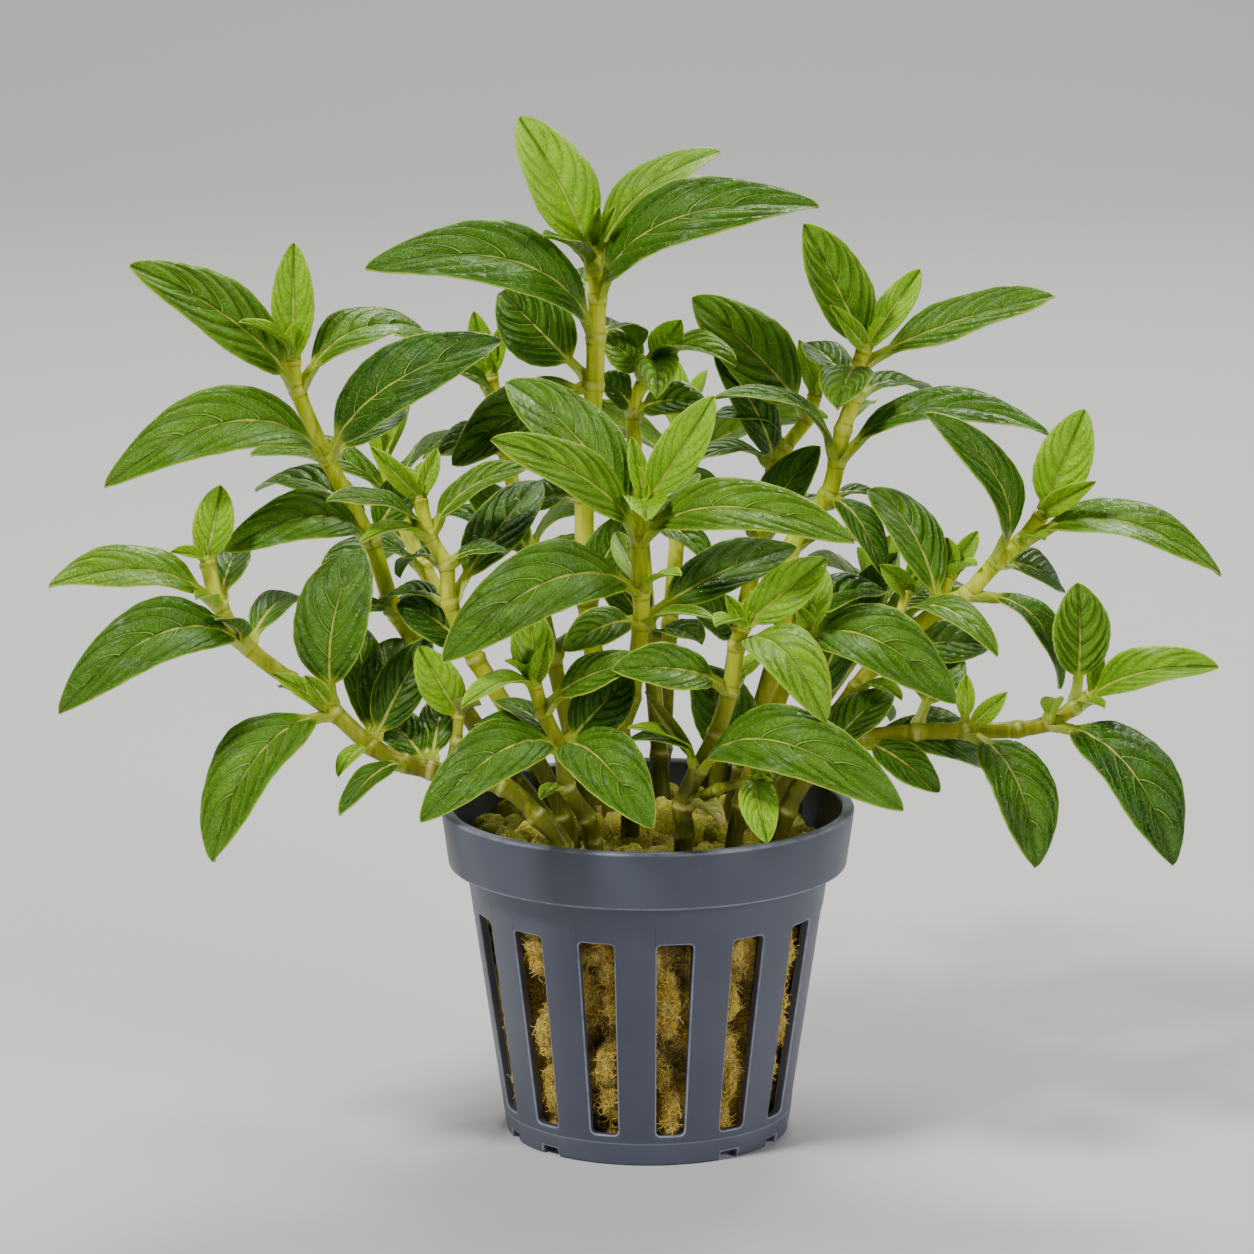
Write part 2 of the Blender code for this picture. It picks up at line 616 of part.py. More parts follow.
def add_small_growth(bm, shoot):
    """The small leaves, which begin inside their stem."""
    for leaf in shoot["small"]:
        add_leaf(bm, shoot["stem"], leaf, SMALL_START, True)


def build_shoot(name, shoot, leaf_material, stem_material):
    """One stem with its side shoots and small leaves as one body, and its large leaves apart."""
    bm = bmesh.new()
    add_stem(bm, shoot["stem"], shoot["radius"])
    stem = finish(bm, "stem_" + name, stem_material)
    bm = bmesh.new()
    add_small_growth(bm, shoot)
    for side in SIDE_SHOOTS.values():
        if side["on"] == name:
            add_stem(bm, side["stem"], side["radius"])
            add_small_growth(bm, side)
    growth = finish(bm, "growth_" + name, leaf_material)
    boolean(stem, growth, "UNION")
    for number, leaf in enumerate(shoot["large"], start=1):
        bm = bmesh.new()
        add_leaf(bm, shoot["stem"], leaf, clear_start(shoot, leaf), False)
        finish(bm, "leaf_%s_%d" % (name, number), leaf_material)


# ---------------------------------------------------------------- pot
def turned(bm, profile, sides):
    """Turn a profile of (radius, height), which begins and ends on the axis, into a closed body."""
    verts = [bm.verts.new((radius, 0, height)) for radius, height in profile]
    edges = [bm.edges.new(pair) for pair in zip(verts, verts[1:])]
    bmesh.ops.spin(bm, geom=verts + edges, cent=(0, 0, 0), axis=(0, 0, 1), angle=math.tau,
                   steps=sides, use_merge=True)
    bmesh.ops.remove_doubles(bm, verts=bm.verts, dist=0.001)


def body_radius(height):
    """Outer radius of the pot below its collar."""
    return FOOT_RADIUS + (BODY_TOP_RADIUS - FOOT_RADIUS) * height / COLLAR_FOOT


def pot_profile():
    """Up the outside, over the rim and down the inside."""
    shelf = COLLAR_FOOT + WALL
    return [
        (0, 0),
        (FOOT_RADIUS - EDGE, 0),
        (body_radius(EDGE), EDGE),
        (body_radius(COLLAR_FOOT - EDGE), COLLAR_FOOT - EDGE),
        (BODY_TOP_RADIUS + EDGE, COLLAR_FOOT),
        (COLLAR_FOOT_RADIUS, COLLAR_FOOT + SHELF_RISE),
        (RIM_RADIUS, POT_HEIGHT - EDGE),
        (RIM_RADIUS - EDGE, POT_HEIGHT),
        (RIM_RADIUS - RIM_WIDTH + EDGE, POT_HEIGHT),
        (RIM_RADIUS - RIM_WIDTH, POT_HEIGHT - EDGE),
        (COLLAR_FOOT_RADIUS - WALL - SHELF_RISE, shelf + EDGE),
        (body_radius(COLLAR_FOOT) - WALL, shelf - EDGE),
        (body_radius(FLOOR) - WALL, FLOOR),
        (0, FLOOR),
    ]


def around(angle):
    """Turn about the pot's axis from the front, positive towards +X."""
    return Matrix.Rotation(math.radians(angle), 4, "Z")


def slot_cutter(bm, angle):
    """A tapered slot with rounded corners, cut through the front of the pot and then turned."""
    box = bmesh.ops.create_cube(bm, size=1.0)["verts"]
    for corner in box:
        high = corner.co.z > 0
        corner.co.x *= SLOT_TOP_WIDTH if high else SLOT_BOTTOM_WIDTH
        corner.co.y = -SLOT_CUT_INNER if corner.co.y > 0 else -SLOT_CUT_OUTER
        corner.co.z = SLOT_TOP if high else SLOT_BOTTOM
    along = [edge for corner in box for edge in corner.link_edges
             if abs(edge.verts[0].co.y - edge.verts[1].co.y) > 1.0]
    rounded = bmesh.ops.bevel(bm, geom=list(set(along)), offset=SLOT_CORNER, segments=1, profile=0.5,
                              affect="EDGES")["verts"]
    verts = list(set(rounded) | {corner for corner in box if corner.is_valid})
    bmesh.ops.rotate(bm, verts=verts, cent=(0, 0, 0), matrix=around(angle))


def box_cutter(bm, size, centre, angle):
    """A plain box, turned about the pot's axis."""
    made = bmesh.ops.create_cube(bm, size=1.0)["verts"]
    bmesh.ops.scale(bm, vec=size, verts=made)
    bmesh.ops.translate(bm, vec=centre, verts=made)
    bmesh.ops.rotate(bm, verts=made, cent=(0, 0, 0), matrix=around(angle))


def build_pot():
    """The net pot: a turned wall with slots, foot notches and drain slots."""
    plastic = material("slate_plastic", (0.10, 0.115, 0.14), 0.38)
    bm = bmesh.new()
    turned(bm, pot_profile(), POT_SIDES)
    pot = finish(bm, "net_pot", plastic)
    bm = bmesh.new()
    for index in range(SLOTS):
        angle = FIRST_SLOT + 360.0 * index / SLOTS
        slot_cutter(bm, angle)
        if index not in PLAIN_SLOTS:
            size = (NOTCH_WIDTH, NOTCH_DEPTH, 2 * NOTCH_HEIGHT)
            box_cutter(bm, size, (0, -FOOT_RADIUS, 0), angle)
    for index in range(DRAINS):
        length = DRAIN_OUTER - DRAIN_INNER
        middle = 0.5 * (DRAIN_OUTER + DRAIN_INNER)
        box_cutter(bm, (DRAIN_WIDTH, length, 4 * FLOOR), (0, -middle, 0), 360.0 * index / DRAINS)
    boolean(pot, finish(bm, "pot_cutter", plastic), "DIFFERENCE")


# ---------------------------------------------------------------- rockwool
def plug_profile():
    """The rockwool follows the inside of the pot and is a little domed on top."""
    shelf = COLLAR_FOOT + WALL
    return [
        (0, FLOOR + PLUG_GAP),
        (body_radius(FLOOR) - WALL - 2 * PLUG_GAP, FLOOR + PLUG_GAP),
        (body_radius(PLUG_BEND) - WALL - PLUG_GAP, PLUG_BEND),
        (body_radius(COLLAR_FOOT) - WALL - 2 * PLUG_GAP, shelf - EDGE),
        (COLLAR_FOOT_RADIUS - WALL - 3 * PLUG_GAP, shelf + EDGE + PLUG_GAP),
        *((radius, PLUG_TOP + rise) for radius, rise in PLUG_DOME),
    ]


def build_plug():
    """The rockwool plug, lumpy on top, with a socket for each stem."""
    wool = material("rockwool", (0.30, 0.20, 0.05), 0.95)
    bm = bmesh.new()
    turned(bm, plug_profile(), PLUG_SIDES)
    for corner in bm.verts:
        if corner.co.z > PLUG_TOP - 0.1:
            wave = math.sin(corner.co.x * 0.9 + 1.0) * math.cos(corner.co.y * 1.1)
            corner.co.z += LUMP_HEIGHT * wave
    plug = finish(bm, "rockwool_plug", wool)
    bm = bmesh.new()
    for shoot in SHOOTS.values():
        add_stem(bm, shoot["stem"][:3], shoot["radius"], CLEARANCE)
    boolean(plug, finish(bm, "socket_cutter", wool), "DIFFERENCE")


def main():
    clear_scene()
    leaf_material = material("leaf", (0.06, 0.19, 0.025), 0.42)
    stem_material = material("stem", (0.24, 0.30, 0.06), 0.45)
    build_pot()
    build_plug()
    for name, shoot in SHOOTS.items():
        build_shoot(name, shoot, leaf_material, stem_material)


main()
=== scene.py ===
import random
from collections import namedtuple
from math import atan2, copysign, cos, degrees, exp, pi, radians, sin, sqrt, tau

import bmesh
import bpy
from mathutils import Matrix, Vector, noise


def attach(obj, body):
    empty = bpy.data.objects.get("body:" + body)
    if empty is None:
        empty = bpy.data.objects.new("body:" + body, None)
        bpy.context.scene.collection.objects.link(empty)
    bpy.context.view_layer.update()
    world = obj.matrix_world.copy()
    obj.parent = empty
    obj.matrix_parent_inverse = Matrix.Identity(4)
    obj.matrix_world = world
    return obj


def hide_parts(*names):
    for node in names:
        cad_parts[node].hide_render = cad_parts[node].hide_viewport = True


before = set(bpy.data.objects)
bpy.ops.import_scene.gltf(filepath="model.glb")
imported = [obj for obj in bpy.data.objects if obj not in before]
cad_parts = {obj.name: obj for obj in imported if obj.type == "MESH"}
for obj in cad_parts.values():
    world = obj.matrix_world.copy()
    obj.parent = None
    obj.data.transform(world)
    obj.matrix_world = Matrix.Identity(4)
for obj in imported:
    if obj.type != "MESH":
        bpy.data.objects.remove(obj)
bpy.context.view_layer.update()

# Lengths are in millimetres and angles in degrees, unless a comment says otherwise.
MM = 0.001
ORIGIN = (0, 0, 0)

# ---- studio
VIEW_TARGET = (-2.6, 0, 64.7)
VIEW_DISTANCE = 700
VIEW_ELEVATION = 11.8
LENS = 160.8
STAGE_HALF = 4000
STAGE_FRONT = -3000
STAGE_BEND = 900
STAGE_CURVE = 500
STAGE_BACK = (1400, 3000)
# Each lamp's name, place in metres and power, and a soft box's width in metres.
SOFT_BOXES = (("key", (-0.58, -0.5, 0.98), 12.9, 0.2), ("fill", (0.75, -0.75, 0.5), 5.4, 0.35),
              ("back", (0.15, 0.6, 0.95), 11, 0.4))
SPOTS = (("pot_left", (-0.55, -0.16, 0.016), 2.6), ("pot_right", (0.55, -0.14, 0.016), 2.3))
PLANT_AIM = (0, 0, 0.06)
POT_AIM = (0, 0, 0.013)
POT_BEAM = 4.8
BEAM_SOFTNESS = 0.6
SPOT_RADIUS = 12
SKY_POWER = 0.06

# ---- pot
POT_SIDES = 224
POT_HEIGHT = 42
FOOT_RADIUS = 17.85
FOOT_GROOVE = 2.9
GROOVE_HALF = 0.2
GROOVE_DEPTH = 0.07
BODY_TOP_RADIUS = 22.9
COLLAR_FOOT = 34.6
COLLAR_FOOT_RADIUS = 25.1
RIM_RADIUS = 26
RIM_INSIDE = 24.5
RIM_EDGE = 0.42
RIM_INNER_EDGE = 0.4
SHELF_EDGE = 0.35
WALL = 1.2
FLOOR = 1.3
EDGE = 0.5
SLOTS = 14
FIRST_SLOT = 8.7
SLOT_BOTTOM = 4
SLOT_TOP = 29.4
SLOT_TOP_WIDTH = 4.6
SLOT_BOTTOM_WIDTH = 3.5
SLOT_CORNER = 0.6
SLOT_BEVEL = 0.2
BEVEL_ANGLE = 40
SHARP_ANGLE = 38
SLOT_CUT_INNER = 15
SLOT_CUT_OUTER = 25
PLAIN_SLOTS = (0, 6, 7, 13)
NOTCH_SIZE = (2.5, 3, 2.2)
DRAINS = 4
DRAIN_SIZE = (2.6, 8, 5.2)
DRAIN_MIDDLE = 10

# ---- rockwool
PLUG_FOOT = 1.7
PLUG_TOP = 38.3
PLUG_GAP = 0.25
WALL_GRID = (130, 420)
WALL_LUMP = 6.2
WALL_DEPTH = 2
SLOT_HALF_ANGLE = 6
SLOT_BULGE_ANGLE = 2.8
SLOT_BULGE = 0.8
RIB_ANGLE = 10.5
TOP_GRID = (96, 300)
TOP_LUMP = 4.4
SMALL_WALL_LUMP = 2.4
SMALL_TOP_LUMP = 1.9
DOME_RADIUS = 23
DOME_RISE = 0.9
DOME_SINK = 2.1
WALL_STRANDS = 5600
TOP_STRANDS = 350
STRAND_RADIUS = 0.032
STRAND_STEPS = 4
STRANDS_REACH = 8.5
TOP_STRANDS_RADIUS = 21.5
# How far a strand turns at most, in radians.
MOST_CURL = 4.2
# How much painted shade a place may have and still grow strands freely: beyond it strands are sparse on the
# wall and none grow on the top.
BARE_DARK = 0.4
FLAKES = 170
FLAKE_RADII = (1.5, 3.1)

# ---- stems and leaves
STEM_SIDES = 18
STEM_STEP = 0.4
STEM_TAPER = 0.78
NODE_SWELL = 0.15
NODE_REACH = 0.9
NODE_RIDGE = 0.07
YOUNG_HEIGHTS = (44, 72)
STEM_LAYERS = ("node", "ring", "youth")
LEAF_LAYERS = ("along", "across", "side", "edge", "beat", "upper", "age", "dry", "shade")
PETIOLE_HALF = 0.62
PETIOLE_SHARE = 0.17
BLADE_THICK = 0.2
BEND_PLACE = 0.45
SLOPE_STEP = 0.01
LONGEST_PETIOLE = 0.4
CHANNEL = 0.0675
SIDE_VEINS = 5.6
VEIN_LEAN = 0.17
VEIN_SWEEP = 0.34
VEIN_POWER = 2.2
QUILT = 0.42
RIB_SINK = 0.18
RIB_RIDGE = 0.36
MOST_TWIST = 9
MOST_SWAY = 0.03
DRY_CURL = 0.9
WAVE_SHARE = 0.035
MOST_WAVE = 0.32
TEETH = 8
TEETH_DEPTH = 0.008
FULL_WIDTH = 8
FOLD = 13
TIP_FOLD = 12
TINY_FOLD = 10
BUD_FOLD = 44
# Rows and columns of a leaf, and how far from the stem's axis its blade begins, along the stem and
# at its tip.
LARGE_LEAF = (84, 26, 4.4, 1.4)
SMALL_LEAF = (48, 16, 2.4, 0.5)
TINY_LEAF = (30, 12, 1.9, 0.4)
BUD_LEAF = (18, 10, 0.4, 0.3)
# How far from the stem's axis the petiole starts, past the axis where it's below 0.
LARGE_START = 0.4
SMALL_START = -0.2
BUD_START = -0.3
SMALL_WIDTH = 4.5
TINY_WIDTH = 3.7
# The age of a leaf, from 0 to 1 when full-grown: at the stem's tip, one node down, and below.
AGES = (0.15, 0.8, 0.95)
BUDS = 4
BUD_LENGTH = 4.8
BUD_AGE = 0.02

# The way that the upper side of a leaf looks.
UP = (0, -0.3, 1)
TILT = (0, -0.8, 0.8)
FRONT = (0, -1, 0.3)
REAR = (0, 0.8, 0.8)

# A shoot: its radius, its axis from root to tip, its large and its small leaves, and for a side shoot
# the stem that it is one body with.
Shoot = namedtuple("Shoot", "radius stem large small on", defaults=(None,))
# A leaf: its place in the list of the stem's axis, its tip, its width, the way its upper side looks,
# its arch in percent of its length, and its age where its place doesn't give it.
Leaf = namedtuple("Leaf", "place x y z width look arch age", defaults=(None,))
SHOOTS = {}


def add_shoot(name, *parts):
    SHOOTS[name] = Shoot(*parts)


add_shoot("left_tall", 1.25, [
    (-9, -4, 31), (-13, -4, 41), (-19, -3, 49), (-25, -1, 57.5), (-31.3, 1, 66), (-34.6, 3, 74.7),
    (-40, 4, 85.2), (-43.7, 5, 93.7), (-44.2, 5, 97.8)
], [
    (7, -63.5, -4.5, 111, 9.6, TILT, 13), (7, -28, 12, 100.4, 7.8, (0, -0.5, 0.9), 27),
    (6, -67, -8, 84, 10.6, TILT, 33), (6, -18, 0, 101, 9.6, (-0.3, -0.8, 0.6), 22),
    (5, -52.5, -6, 75.5, 7.8, TILT, 32)
], [
    (8, -44, 6, 112.3, 6, FRONT, 4), (8, -50, -7, 104.4, 3, TILT, 8), (5, -50, 15, 79.5, 7, UP, 24),
    (6, -30.5, 14, 90, 5.5, TILT, 14), (4, -32, 13, 63, 5, UP, 20), (4, -37.5, -3, 66.5, 4.6, UP, 22),
    (5, -28, 6, 83.5, 5.8, TILT, 16)
])
add_shoot("left_low", 1.25, [
    (-9.5, -15.5, 31), (-10.5, -18.6, 41), (-13.6, -17.6, 44.6), (-17.8, -16, 48), (-26.7, -14, 49.6),
    (-30, -14, 50.5), (-34, -13, 52.4), (-38.6, -13, 56.6), (-44, -12, 60.5), (-49.2, -12, 64.7),
    (-52.6, -11, 69.6), (-54.3, -10, 75.2)
], [
    (10, -73, -18, 73.7, 8.4, (0, -0.5, 0.9), 20, 0.6), (9, -71.5, -24, 59, 9.8, TILT, 35),
    (7, -35.5, -6, 76, 10.2, (-0.4, -1, 0.2), 22), (7, -53, -26, 41, 11.4, (-0.6, -0.8, 0.5), 24)
], [
    (6, -27, -8, 65, 6.4, FRONT, 12), (11, -52.5, -8, 84.2, 5.6, FRONT, 4),
    (11, -58.3, -14, 77, 2.6, TILT, 5), (10, -55, -18, 72, 3, UP, 10), (10, -50.5, 0, 75, 5, UP, 12),
    (9, -52.5, -21, 70.2, 4.6, UP, 10), (9, -43.5, 3, 68, 5, UP, 15), (7, -46, -15, 62, 3, TILT, 5),
    (7, -42, -16, 62, 2.8, FRONT, 5), (7, -46, -4, 58, 4, UP, 15), (6, -38, -19, 50, 3, UP, 15),
    (5, -37.6, -24, 46.4, 4.2, UP, 15), (6, -31, 0, 63.5, 7.2, TILT, 12), (4, -25, -6, 58, 5, TILT, 10),
    (4, -33, -7, 55, 6, TILT, 16), (6, -37, 3, 65, 5.6, TILT, 12)
])
add_shoot("left_middle", 1.15, [
    (-8, -9, 31), (-10.5, -10.5, 43), (-15.8, -11, 54), (-21.3, -9, 62.4), (-24.4, -9, 69.5),
    (-24.9, -8, 74.1), (-27, -8, 78), (-28.1, -7, 82.4)
], [
    (4, -13.4, 6, 82.3, 7.4, TILT, 10)
], [
    (6, -14, -5, 86.2, 5.6, UP, 16), (7, -34, -10, 89.3, 3.4, FRONT, 5), (7, -26, -5, 88.2, 3, FRONT, 4),
    (6, -39.3, -14, 83.4, 5.4, UP, 16), (6, -35.2, -15, 78.3, 3.6, UP, 12), (5, -17.2, -9, 76, 4.4, UP, 16),
    (4, -33.5, -2, 68.3, 5, UP, 15), (5, -31, -2, 71.5, 4.6, UP, 25), (3, -31, -5, 69, 6.6, TILT, 18)
])
add_shoot("centre_tall", 1.35, [
    (-3.5, 1, 31), (-6, 2, 55), (-7.6, 5, 67), (-7.9, 6.5, 80), (-6.7, 8, 94), (-6.5, 8, 100),
    (-6.3, 8, 105), (-6.6, 8, 108.3), (-6.7, 8, 112)
], [
    (7, -16, 9, 127.6, 9.2, (0.4, -1, 0.3), 14, 0.1), (7, 9, 9, 123.4, 7, (-0.2, -0.7, 0.8), 22, 0.45),
    (6, 21, -2, 118, 10.2, TILT, 27), (5, -35, 0, 110, 10.6, TILT, 31), (4, -18.5, 14, 105, 9.4, FRONT, 8)
], [
    (7, -12.8, -4, 114.6, 5.2, UP, 8), (8, -6, 0, 117.5, 2.2, FRONT, 3), (8, -4, -0.5, 117.6, 2.4, FRONT, 5),
    (5, -1, 21, 97, 6, UP, 15), (6, -12, 21, 104.5, 6, UP, 15), (4, -24.5, 4, 84.5, 8.5, TILT, 12),
    (3, -17, 14, 77, 6.5, TILT, 12), (2, -2, 6, 78, 6.2, TILT, 14)
])
add_shoot("back_left", 1.15, [
    (-6, 8, 31), (-9, 14, 44), (-12, 19, 56), (-15, 22, 69), (-18.3, 24, 83), (-19.6, 25, 89.7),
    (-20.1, 25, 92.5)
], [], [
    (6, -22.2, 25, 100.8, 3.8, FRONT, 4), (6, -18.6, 25, 99, 3, FRONT, 4), (5, -25, 17, 94.5, 4, TILT, 10),
    (5, -32.5, 28, 97.5, 5.6, UP, 15), (4, -26.5, 12, 84.5, 6.2, TILT, 15), (4, -29, 24, 82, 4.8, UP, 12),
    (3, -27, 27, 74, 6, UP, 20), (3, -6, 31, 74, 6, REAR, 20), (3, -7.5, 15, 72, 6, UP, 12),
    (2, -5, 12, 62, 6.5, UP, 16), (3, -23.5, 18, 80, 6.4, TILT, 14)
])
add_shoot("centre_front", 1.25, [
    (-2.5, -9, 31), (-2.2, -11, 46), (-3.4, -11, 53), (-2, -10.5, 58), (-0.9, -11, 67.5), (-0.9, -12, 71.6),
    (-1.1, -12, 78), (-0.4, -12, 82.7)
], [
    (7, 8, -12, 96, 6.4, FRONT, 6, 0.2), (6, -19, -20, 92, 7.4, TILT, 16, 0.6),
    (6, 25, -22, 79.8, 8.2, TILT, 26), (6, -17.5, -1, 96, 9.8, (0.35, -0.8, 0.5), 15),
    (5, -25, -23, 65.2, 10.4, TILT, 34), (4, 18.5, -3, 75.6, 7.6, TILT, 12)
], [
    (7, -2.1, -11, 90.8, 3, FRONT, 4), (7, -0.3, -21, 82.4, 6, UP, 8), (6, 6.2, -1, 84.5, 5.4, UP, 12),
    (5, 4, -19, 75.2, 3.2, UP, 10), (5, -4, -3, 77.4, 3.4, FRONT, 6), (4, 8, -17, 69.3, 3.2, UP, 10),
    (4, -10.5, -15.5, 65, 5.6, TILT, 22)
])
add_shoot("right_front", 1.25, [
    (3.5, -15, 31), (4.4, -18, 42.5), (4.2, -18.6, 46.3), (6.2, -19, 51.1), (8.3, -19, 55.4),
    (9.9, -19, 60.7), (10.8, -19, 66.4), (11.5, -19, 68.8)
], [
    (7, 21.6, -18, 77, 6.4, FRONT, 10), (6, 21.3, -31, 59.5, 8.2, (0.3, -0.8, 0.6), 32, 0.5),
    (5, -4.4, -27, 65.2, 6.8, TILT, 16), (3, 30.6, -34, 49.4, 10, TILT, 31)
], [
    (7, 8, -25, 70.2, 4, UP, 8), (7, 9.4, -20.5, 73, 2.4, FRONT, 3), (5, 14.2, -15, 64.5, 3, UP, 8),
    (3, -0.5, -22, 61.4, 2.6, FRONT, 5), (3, -2.5, -26, 57.8, 3.4, UP, 12), (2, 9.2, -23, 44.6, 3, UP, 15),
    (3, -2.5, -23, 55.5, 4.4, UP, 20)
])
add_shoot("front_left", 1.15, [
    (-5.2, -13.5, 31), (-6.8, -16.6, 41.5), (-7.6, -17.6, 44.6), (-10, -19.5, 49), (-10.6, -19.5, 53.4),
    (-12.8, -19.5, 58.2), (-13.9, -19.5, 61.8)
], [
    (5, -0.2, -25, 66, 5.6, TILT, 14), (4, -27.4, -33, 47.7, 8.4, TILT, 30), (4, 0.5, -35, 47.4, 9, TILT, 27)
], [
    (6, -14.4, -16, 70.4, 6, FRONT, 6), (6, -12.3, -21, 67.2, 3, FRONT, 4),
    (6, -22.6, -27, 60.4, 4.2, UP, 14), (4, -19, -12, 58, 4.4, UP, 14), (3, -13.2, -22.5, 48, 2.4, UP, 15),
    (4, -21.5, -12, 55, 4.8, UP, 16), (4, -2, -16, 62, 7.2, FRONT, 10)
])
add_shoot("right_tall", 1.25, [
    (8, 2, 31), (12, 2, 46), (16.7, 6, 62), (18.1, 8, 73.2), (22.6, 10, 79.5), (23.9, 10, 84),
    (24.6, 10, 88), (26, 11, 92), (26.6, 11, 96), (27.3, 11, 98.3)
], [
    (9, 19.5, 9.5, 114.2, 8.6, (0.3, -1, 0.3), 6, 0.7), (8, 50.6, 6, 105.7, 7.8, (0, -0.6, 0.9), 5),
    (5, 50, 2, 89, 8, (0, -0.45, 0.9), 22)
], [
    (5, 8.2, 4, 93.2, 6, UP, 22), (9, 34.5, 16, 107.5, 4.6, FRONT, 6), (9, 22.6, 2, 105, 3.2, FRONT, 5),
    (8, 23.4, -1, 92.6, 7, UP, 10), (7, 37, 22, 89.8, 6, UP, 16), (7, 20, 20, 97.6, 5.6, UP, 12),
    (6, 29, 19, 90, 3.6, UP, 12), (4, 29.5, 2, 70.8, 5.2, UP, 20), (4, 32.5, 16, 76, 4.2, UP, 15),
    (3, 28.5, 16, 71.5, 5.5, UP, 18), (2, 30.5, 14, 66.5, 7.5, UP, 18), (1, 5.5, -2, 60.5, 9.4, TILT, 12)
])
add_shoot("back_right", 1.15, [
    (7.5, 10, 31), (9.5, 14, 46), (11.5, 18, 59), (14.5, 22, 71.5), (16.3, 24, 80.8), (17.7, 25, 83),
    (20.7, 26, 86.8), (21.6, 26, 90)
], [
    (6, 5.7, 22, 103, 10, (0.3, -1, 0.4), 14)
], [
    (7, 24.5, 27, 96.5, 3.4, FRONT, 5), (7, 19.5, 26, 97, 3, FRONT, 5), (4, 6, 16, 83, 5.4, UP, 16),
    (5, 8.5, 17, 88.4, 5, UP, 16), (3, 27, 29, 74, 6, UP, 20), (3, 6.5, 18, 76, 6, UP, 15),
    (4, 8.5, 20, 96.5, 6, TILT, 14), (3, 22, 18, 84.5, 6.6, TILT, 12), (2, 5.5, 14, 65, 6.6, TILT, 16)
])
add_shoot("back_centre", 1.15, [
    (2.5, 6, 31), (1.5, 10, 46), (0.3, 14, 60), (-0.9, 20, 74.5), (-1.8, 22, 88), (-0.3, 22, 92.4),
    (0.8, 22, 95.1)
], [], [
    (6, 4.3, 20, 100.4, 4.8, FRONT, 4, 0.1), (6, 11.2, 14, 95.6, 6.4, UP, 16, 0.5),
    (5, -6.2, 20, 98.4, 6.4, TILT, 14, 0.6), (6, 1.2, 11, 92, 6.6, UP, 10, 0.4), (3, 9, 30, 78, 6, REAR, 20),
    (3, 8, 13, 70.5, 6, UP, 15), (2, 7, 6, 61.5, 6.5, UP, 16), (4, 7.5, 17, 90.5, 5.6, TILT, 14),
    (4, -6, 18, 93.5, 5.6, TILT, 12), (2, -6.5, 12, 71, 6.4, TILT, 14)
])
add_shoot("right_middle", 1.25, [
    (9.5, -4, 31), (15.3, -4, 43.4), (19, -3, 48.3), (23.4, -2, 53.7), (26.1, -2, 57.3), (28.4, -1, 60),
    (36.3, 0, 67), (39.8, 0, 68.9), (43.5, 0, 73), (46.5, 0, 75.6), (49.1, 0, 79.1)
], [
    (10, 54.2, 0, 92.3, 7.6, FRONT, 6), (9, 70.8, -8, 73, 7.8, (0, -0.5, 0.9), 22),
    (8, 33.9, -6, 93, 6.6, (0.4, -0.7, 0.6), 27), (7, 51.5, -3, 57.4, 5.8, UP, 30)
], [
    (10, 55, -8, 84.6, 3.6, FRONT, 5), (9, 49, -7, 77.2, 3.2, UP, 8), (8, 52.5, 9, 67.5, 6.4, TILT, 12),
    (6, 28, 11, 80.3, 7.2, (0.3, -0.7, 0.6), 20), (4, 31.5, -8, 57.2, 3.4, UP, 15),
    (3, 31, 8, 51, 5.4, UP, 20), (5, 43, 4, 61.5, 7.2, TILT, 18)
])
add_shoot("right_inner", 1.15, [
    (9.5, -10, 31), (11.5, -12.5, 45), (15, -12.5, 55), (18.7, -12, 64.9), (19.8, -12, 67)
], [
    (3, 37.4, -22, 59.8, 9.4, TILT, 34)
], [
    (4, 20.6, -7, 74.6, 5.6, FRONT, 6), (4, 18, -17, 71, 2.8, FRONT, 5), (3, 11, -5, 56, 5.6, UP, 20)
])
add_shoot("right_low", 1.2, [
    (14.5, -9, 31), (17.3, -10, 43.5), (21.5, -9.6, 49.8), (26.3, -8.4, 52.2), (33.1, -8, 53),
    (39.3, -8, 53.2), (45.8, -8, 53.4), (49.6, -8, 54.2), (52.8, -8, 56.2), (55.1, -8, 57.8)
], [
    (8, 53, -8, 72, 7.8, (0.3, -1, 0.3), 8, 0.75), (7, 64.4, -20, 39, 11, (0.6, -0.8, 0.5), 22),
    (5, 47.5, -20, 38.7, 9.6, (0.5, -0.8, 0.4), 22), (4, 38, 2, 61.3, 7, TILT, 14)
], [
    (9, 70, -14, 62.7, 6.8, TILT, 16, 0.4), (9, 55.8, -6, 64, 2.8, FRONT, 4), (8, 56, -15, 57.8, 2.8, UP, 8),
    (7, 50, -14, 58.8, 3.2, UP, 8), (5, 44.2, -12, 59, 2.8, FRONT, 6), (5, 39.4, -8, 60.4, 2.6, FRONT, 4),
    (4, 42, 3, 49, 6.4, UP, 18), (3, 36, -13, 46.6, 5.4, TILT, 14), (3, 42.5, -1, 47, 6, TILT, 18),
    (2, 30.5, -2, 57, 6, TILT, 14)
])
add_shoot("rear_left", 1.2, [
    (-10, 5, 31), (-14, 11, 44), (-22, 22, 56), (-29, 31, 66), (-33, 36, 74), (-34.5, 38, 79)
], [], [
    (5, -36, 41, 90, 5, REAR, 5), (5, -31, 39, 87, 3.4, REAR, 5), (4, -52, 38, 80, 7.6, UP, 18),
    (4, -22, 50, 80, 7.6, REAR, 18), (3, -38, 50, 62, 7.8, REAR, 22), (3, -42, 22, 68, 6.4, UP, 18)
])
